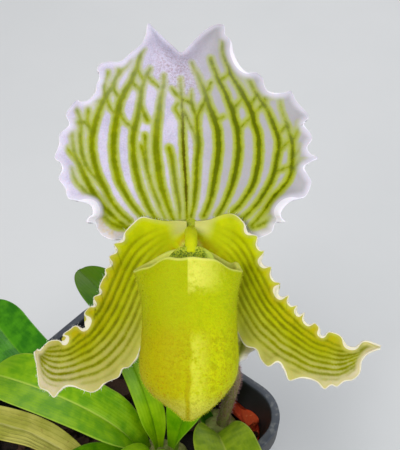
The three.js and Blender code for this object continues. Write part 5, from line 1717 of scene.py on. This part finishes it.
def square_ring(side, corner, z):
    """A rounded square, turned as the pot is."""
    reach = side / 2 - corner
    arcs = []
    for quarter in range(4):
        angles = (quarter + np.linspace(0, 1, CORNER_STEPS)) * np.pi / 2
        centre = turned([reach, reach, z], quarter * np.pi / 2)
        around = np.stack([np.cos(angles), np.sin(angles), np.zeros(CORNER_STEPS)], 1)
        arcs.append(centre + corner * around)
    return turned(np.concatenate(arcs), POT_TURN)


def wall_side(z):
    return mix(POT_FOOT, POT_TOP - 2 * RIM_STEP, z / POT_HEIGHT)


def wall_corner(z):
    return mix(CORNER * 0.7, CORNER - RIM_STEP, z / POT_HEIGHT)


def wall_ring(z, narrower=0):
    return square_ring(wall_side(z) - 2 * narrower, wall_corner(z) - narrower, z)


rim = [(less, BAND_FOOT + up) for less, up in BAND_PROFILE]
rim += [(less, POT_HEIGHT - down) for less, down in LIP_PROFILE]
pot_rings = [square_ring(wall_side(0) - less, wall_corner(0) - less / 2, z)
             for less, z in FOOT_PROFILE]
pot_rings += [wall_ring(z) for z in np.linspace(1.4, BAND_FOOT, 12)]
pot_rings += [square_ring(POT_TOP - less, CORNER - less / 2, z) for less, z in rim]
pot_rings += [wall_ring(z, POT_WALL) for z in np.linspace(BAND_FOOT, POT_FLOOR, 8)]
points, faces = rings_body(pot_rings)
pot = make_piece("pot_fine", points, faces, "pot")

# %% [markdown]
# The holes are cut by a boolean modifier with four short rods. It is applied at once, the rods are
# taken away again, and the edges that the cut leaves are marked as sharp.

# %% Drain holes
DRAIN_RADIUS = 4
DRAIN_OFFSET = 17
DRILL_REACH = 5
DRILL_SIDES = 40
POT_CREASE = math.radians(32)

circle = all_round(DRILL_SIDES)
rod = DRAIN_RADIUS * np.stack([np.cos(circle), np.sin(circle), np.zeros(DRILL_SIDES)], 1)
drills = []
for quarter in range(4):
    at = turned([DRAIN_OFFSET, 0, 0], quarter * np.pi / 2 + POT_TURN)
    drills.append(rings_body([rod + at + [0, 0, z] for z in (-DRILL_REACH, DRILL_REACH)]))
points, faces = joined(*drills)
drill_mesh = bpy.data.meshes.new("drills")
drill_mesh.from_pydata((points * MM).tolist(), [], faces)
drill = in_scene("drills", drill_mesh)
drain = pot.modifiers.new("drain_holes", "BOOLEAN")
drain.operation = "DIFFERENCE"
drain.object = drill
drilled = bpy.data.meshes.new_from_object(pot.evaluated_get(bpy.context.evaluated_depsgraph_get()))
pot.modifiers.clear()
pot.data = drilled
bpy.data.objects.remove(drill)
pot.data.set_sharp_from_angle(angle=POT_CREASE)
print("pot faces with its holes:", len(pot.data.polygons))

# %% [markdown]
# Injection-moulded plastic is black but not dead black: it has a fine grain, water marks and a
# little dust on the ledges. A grey-blue sheen along the top of the rim is a painted highlight.

# %% Pot finish
def pot_finish():
    paint = Finish("pot_plastic")
    grain = paint.noise(0.5, 3)
    stains = paint.noise(14, 4)
    high = paint.node("ShaderNodeSeparateXYZ", None, {0: paint.place()}, "Z")
    dust = high.step(84.0, 85.0) * paint.noise(2.5, 4).step(0.52, 0.7)
    drips = paint.noise(3.0, 4).step(0.6, 0.75) * high.step(40.0, 0.0)
    body = paint.coats(
        paint.tints(stains.step(0.4, 0.7), (24, 26, 29), (38, 41, 46)),
        # painted highlight: a grey-blue sheen on the top of the rim
        (high.step(83.6, 84.9) * 0.7, (74, 80, 92)),
        (dust * 0.5, (128, 130, 130)),
        (drips * 0.3, (96, 90, 82)),
    )
    return paint.finished(body, 0.36 + stains * 0.22 + grain * 0.08, grain, 0.06)


pot.data.materials.append(pot_finish())
print("materials on the pot:", len(pot.data.materials))

# %% [markdown]
# ## Bark
# The plant grows in chips of fir bark. The solid has one large chip in each cell of a loose grid,
# and the fine ones must lie where those lie, so their sizes and turns come from the same short
# run of repeatable numbers. Each chip is a block whose faces are divided, rounded and roughened
# in layers, as bark splits. Crumbs fill the gaps between them.

# %% Bark chips
BARK_TOP = 67
SEAT_GAP = 0.3
CHIP_SPACING = 13.5
CLEARING = 8
BARK_OVER = 7  # height that chips may stand over the bed
CHIP_WIDTH, CHIP_HEIGHT = (0.5, 0.8), (0.28, 0.42)  # least and most, as shares of its length
CORNER_SHIFT = 0.22  # how far a chip's corner may stray, as a share of its length
CHIP_TIP = 0.9  # how far it may tip, in radians
CHIP_LAYERS = [0.25, 0.7, 1.6]  # its noise is drawn out along it and pressed into layers
ROUGH_CORE = 2.5  # nearer to a chip's middle than this its skin gets no rougher
BLOCK_CORNERS = [
    (1, 1, 1), (1, 1, -1), (1, -1, 1), (1, -1, -1), (-1, 1, -1), (-1, 1, 1), (-1, -1, -1),
    (-1, -1, 1),
]


def repeatable(seed):
    """Numbers of 0 to 1, the same run as shaped the solid's chips."""
    state = seed
    while True:
        state = (state * 1664525 + 1013904223) % 4294967296
        yield state / 4294967296


def block_grid(parts):
    """Places on a cube's faces, each cut into parts by parts, and their quads."""
    places, faces = {}, []
    for axis in range(3):
        for end in (-1, 1):
            corner = lambda a, b: tuple(np.roll([end * parts, 2 * a - parts, 2 * b - parts], axis))
            for a in range(parts):
                for b in range(parts):
                    quad = [corner(a, b), corner(a + 1, b), corner(a + 1, b + 1), corner(a, b + 1)]
                    quad = quad if end > 0 else quad[::-1]
                    faces.append([places.setdefault(place, len(places)) for place in quad])
    return np.array(list(places)) / parts, faces


def chip_body(numbers, size, block, roughness, seed):
    """A chip of bark about the origin, with the solid's corners and a rough rounded skin."""
    draw = lambda: next(numbers)
    sides = [size, size * mix(*CHIP_WIDTH, draw()), size * mix(*CHIP_HEIGHT, draw())]
    places, faces = block
    rounded = places / (np.abs(places) ** 8).sum(1, keepdims=True) ** (1 / 8)
    points = np.zeros_like(places)
    for corner in BLOCK_CORNERS:
        at = [c * side / 2 + (draw() - 0.5) * size * CORNER_SHIFT for c, side in zip(corner, sides)]
        points += np.prod((1 + rounded * corner) / 2, axis=1, keepdims=True) * at
    layers = rough(points * CHIP_LAYERS, 1.6, 1.0, seed) + rough(points, 0.9, 0.4, seed + 1)
    away = np.maximum(ROUGH_CORE, np.linalg.norm(points, axis=1))
    points = points * (1 + roughness * layers / away)[:, None]
    spins = [(draw() - 0.5) * CHIP_TIP, (draw() - 0.5) * CHIP_TIP, draw() * math.pi]
    for axis, angle in zip("xyz", spins):
        points = turned(points, angle, axis)
    return points, faces


print("faces of a block cut into 4 by 4 a side:", len(block_grid(4)[1]))

# %% [markdown]
# No chip may touch the pot or stand in a crown, so a chip's points are pushed back inside the
# wall, and a chip too near a crown is left out.

# %% Room for the bark
def kept_in_pot(points, top):
    """Points pushed back inside the pot's wall and under a height."""
    local = turned(points, -POT_TURN)
    z = np.minimum(local[:, 2], top)
    corner = wall_corner(z) - POT_WALL - SEAT_GAP
    room = (wall_side(z) / 2 - POT_WALL - SEAT_GAP - corner)[:, None]
    over = np.abs(local[:, :2]) - room
    length = np.linalg.norm(np.maximum(over, 0), axis=1)
    pull = np.where(length > corner, corner / np.maximum(length, 1e-6), 1.0)[:, None]
    local[:, :2] = np.sign(local[:, :2]) * (room + np.where(over > 0, over * pull, over))
    local[:, 2] = z
    return turned(local, POT_TURN)


def clear_of_crowns(at, margin):
    return all(math.hypot(at[0] - x, at[1] - y) > reach[0] + margin
               for (x, y), _, reach in GROWTHS.values())


def tone_of(bodies, tones):
    """The tone of each body, once for each of its points."""
    return np.repeat(tones, [len(points) for points, _ in bodies])


print("free places at the corners of a 60 mm square:",
      sum(clear_of_crowns((x, y), CLEARING) for x in (-30, 30) for y in (-30, 30)))

# %% [markdown]
# Most of the bark is nearly black, partly its own colour and partly painted shade deep in the pot;
# it is brown on fresh splits, with paler fibres along its layers.
# The chips beside the pot's right corner are fresh and red, a slot of their own.

# %% Bark finish
def bark_finish(name, dark, brown, pale, pale_share):
    paint = Finish(name, shine=0.35)
    layers = paint.noise(1.1, 5, 0.65)
    body = paint.coats(
        paint.tints((paint.mark("tone") + (layers - 0.5) * 0.8).step(0.1, 0.95), dark, brown),
        (paint.noise(0.8, 4).step(1 - pale_share, 1.15 - pale_share) * 0.6, pale),
    )
    return paint.finished(body, 0.62 + layers * 0.3, layers + paint.noise(0.35, 3) * 0.5, 0.6)


# bark_dark's near-black ground is partly painted shade deep in the pot
bark_paint = bark_finish("bark_dark", (24, 17, 13), (74, 50, 34), (118, 88, 62), 0.34)
red_paint = bark_finish("bark_fresh", (172, 42, 16), (222, 84, 38), (240, 150, 96), 0.42)
print("finishes of bark:", bark_paint.name, red_paint.name)

# %% Large chips
CHIP_SIZES = (13, 21)
CHIP_LIFTS = (-2.4, 1.6)
CHIP_STRAY = 0.5  # how far a chip may lie from its cell's middle, as a share of the cell
numbers = repeatable(21)
chip_block = block_grid(9)
chips, tones = [], []
cells = np.arange(-POT_TOP / 2, POT_TOP / 2 + 0.001, CHIP_SPACING)
for number, (x, y) in enumerate((x, y) for x in cells for y in cells):
    size = mix(*CHIP_SIZES, next(numbers))
    lift = mix(*CHIP_LIFTS, next(numbers))
    shift = [(next(numbers) - 0.5) * CHIP_SPACING * CHIP_STRAY for _ in range(2)]
    at = turned([x + shift[0], y + shift[1], BARK_TOP + lift], POT_TURN)
    points, faces = chip_body(numbers, size, chip_block, roughness=0.9, seed=number)
    if clear_of_crowns(at, CLEARING):
        chips.append((kept_in_pot(points + at, BARK_TOP + BARK_OVER), faces))
        tones.append((number * 0.37) % 1)
print("large chips:", len(chips))

# %% [markdown]
# The bed below them is a rough-topped block that fills the pot, and the crumbs are small chips of
# the same make, strewn at random and kept off the crowns.

# %% Bed and crumbs
BED_WALL_RINGS = 6
BED_TOP_RINGS = 36
# the bed takes the darkest tone, partly painted shade deep in the pot
BED_TONE = 0.1
LUMP_SIZE, LUMP_HEIGHT = 3.0, 1.3
CRUMBS = 520
CRUMB_REACH = 42
CRUMB_SIZES = (2.2, 7.5)
CRUMB_LIFTS = (0.2, 2.6)
BARK_CREASE = 50

heights = np.linspace(POT_FLOOR + SEAT_GAP, BARK_TOP, BED_WALL_RINGS)
bed_wall = [wall_ring(z, POT_WALL + SEAT_GAP) for z in heights]
bed_top = [bed_wall[-1] * [s, s, 1] for s in np.linspace(0.98, 0.01, BED_TOP_RINGS)]
bed = np.array(bed_wall + bed_top)
top = bed[BED_WALL_RINGS:]
top[..., 2] += rough(top, LUMP_SIZE, LUMP_HEIGHT, seed=7)
chips.append(rings_body(bed))
tones.append(BED_TONE)

crumb_random = np.random.default_rng(3)
crumb_block = block_grid(4)
crumb_numbers = repeatable(77)
for number in range(CRUMBS):
    x, y = crumb_random.uniform(-CRUMB_REACH, CRUMB_REACH, 2)
    size = mix(*CRUMB_SIZES, crumb_random.random() ** 2)
    at = turned([x, y, BARK_TOP + mix(*CRUMB_LIFTS, crumb_random.random())], POT_TURN)
    points, faces = chip_body(crumb_numbers, size, crumb_block, roughness=0.35, seed=number)
    if clear_of_crowns(at, -1):
        chips.append((kept_in_pot(points + at, BARK_TOP + BARK_OVER), faces))
        tones.append(crumb_random.random())
points, faces = joined(*chips)
bark_marks = {"tone": tone_of(chips, tones)}
make_piece("bark_mix_fine", points, faces, "bark_mix", bark_paint, bark_marks, BARK_CREASE)
print("bodies in the mix:", len(chips))

# %% Red chips
RED_CHIPS = [  # place, size, degrees turned, tone
    ([45.4, 16.6, 71.4], 12, 150, 0.5),
    ([49.6, 12.4, 72.4], 13, 110, 0.8),
    ([52, 6.6, 70.6], 10, 60, 0.3),
]
RED_OVER = 10
red_numbers = repeatable(8)
reds = []
for number, (at, size, turn, _) in enumerate(RED_CHIPS):
    points, faces = chip_body(red_numbers, size, chip_block, roughness=0.6, seed=60 + number)
    reds.append((kept_in_pot(turned(points, math.radians(turn)) + at, BARK_TOP + RED_OVER), faces))
points, faces = joined(*reds)
red_marks = {"tone": tone_of(reds, [tone for *_, tone in RED_CHIPS])}
make_piece("bark_red_fine", points, faces, "bark_red", red_paint, red_marks,
           BARK_CREASE)

# %% Finish
visual_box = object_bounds()
boxes = {"cad": cad_box, "visual": visual_box}
{key: [list(corner) for corner in box] for key, box in boxes.items()}
print("visual size, mm:", [round((high - low) / MM, 1) for low, high in zip(*visual_box)])
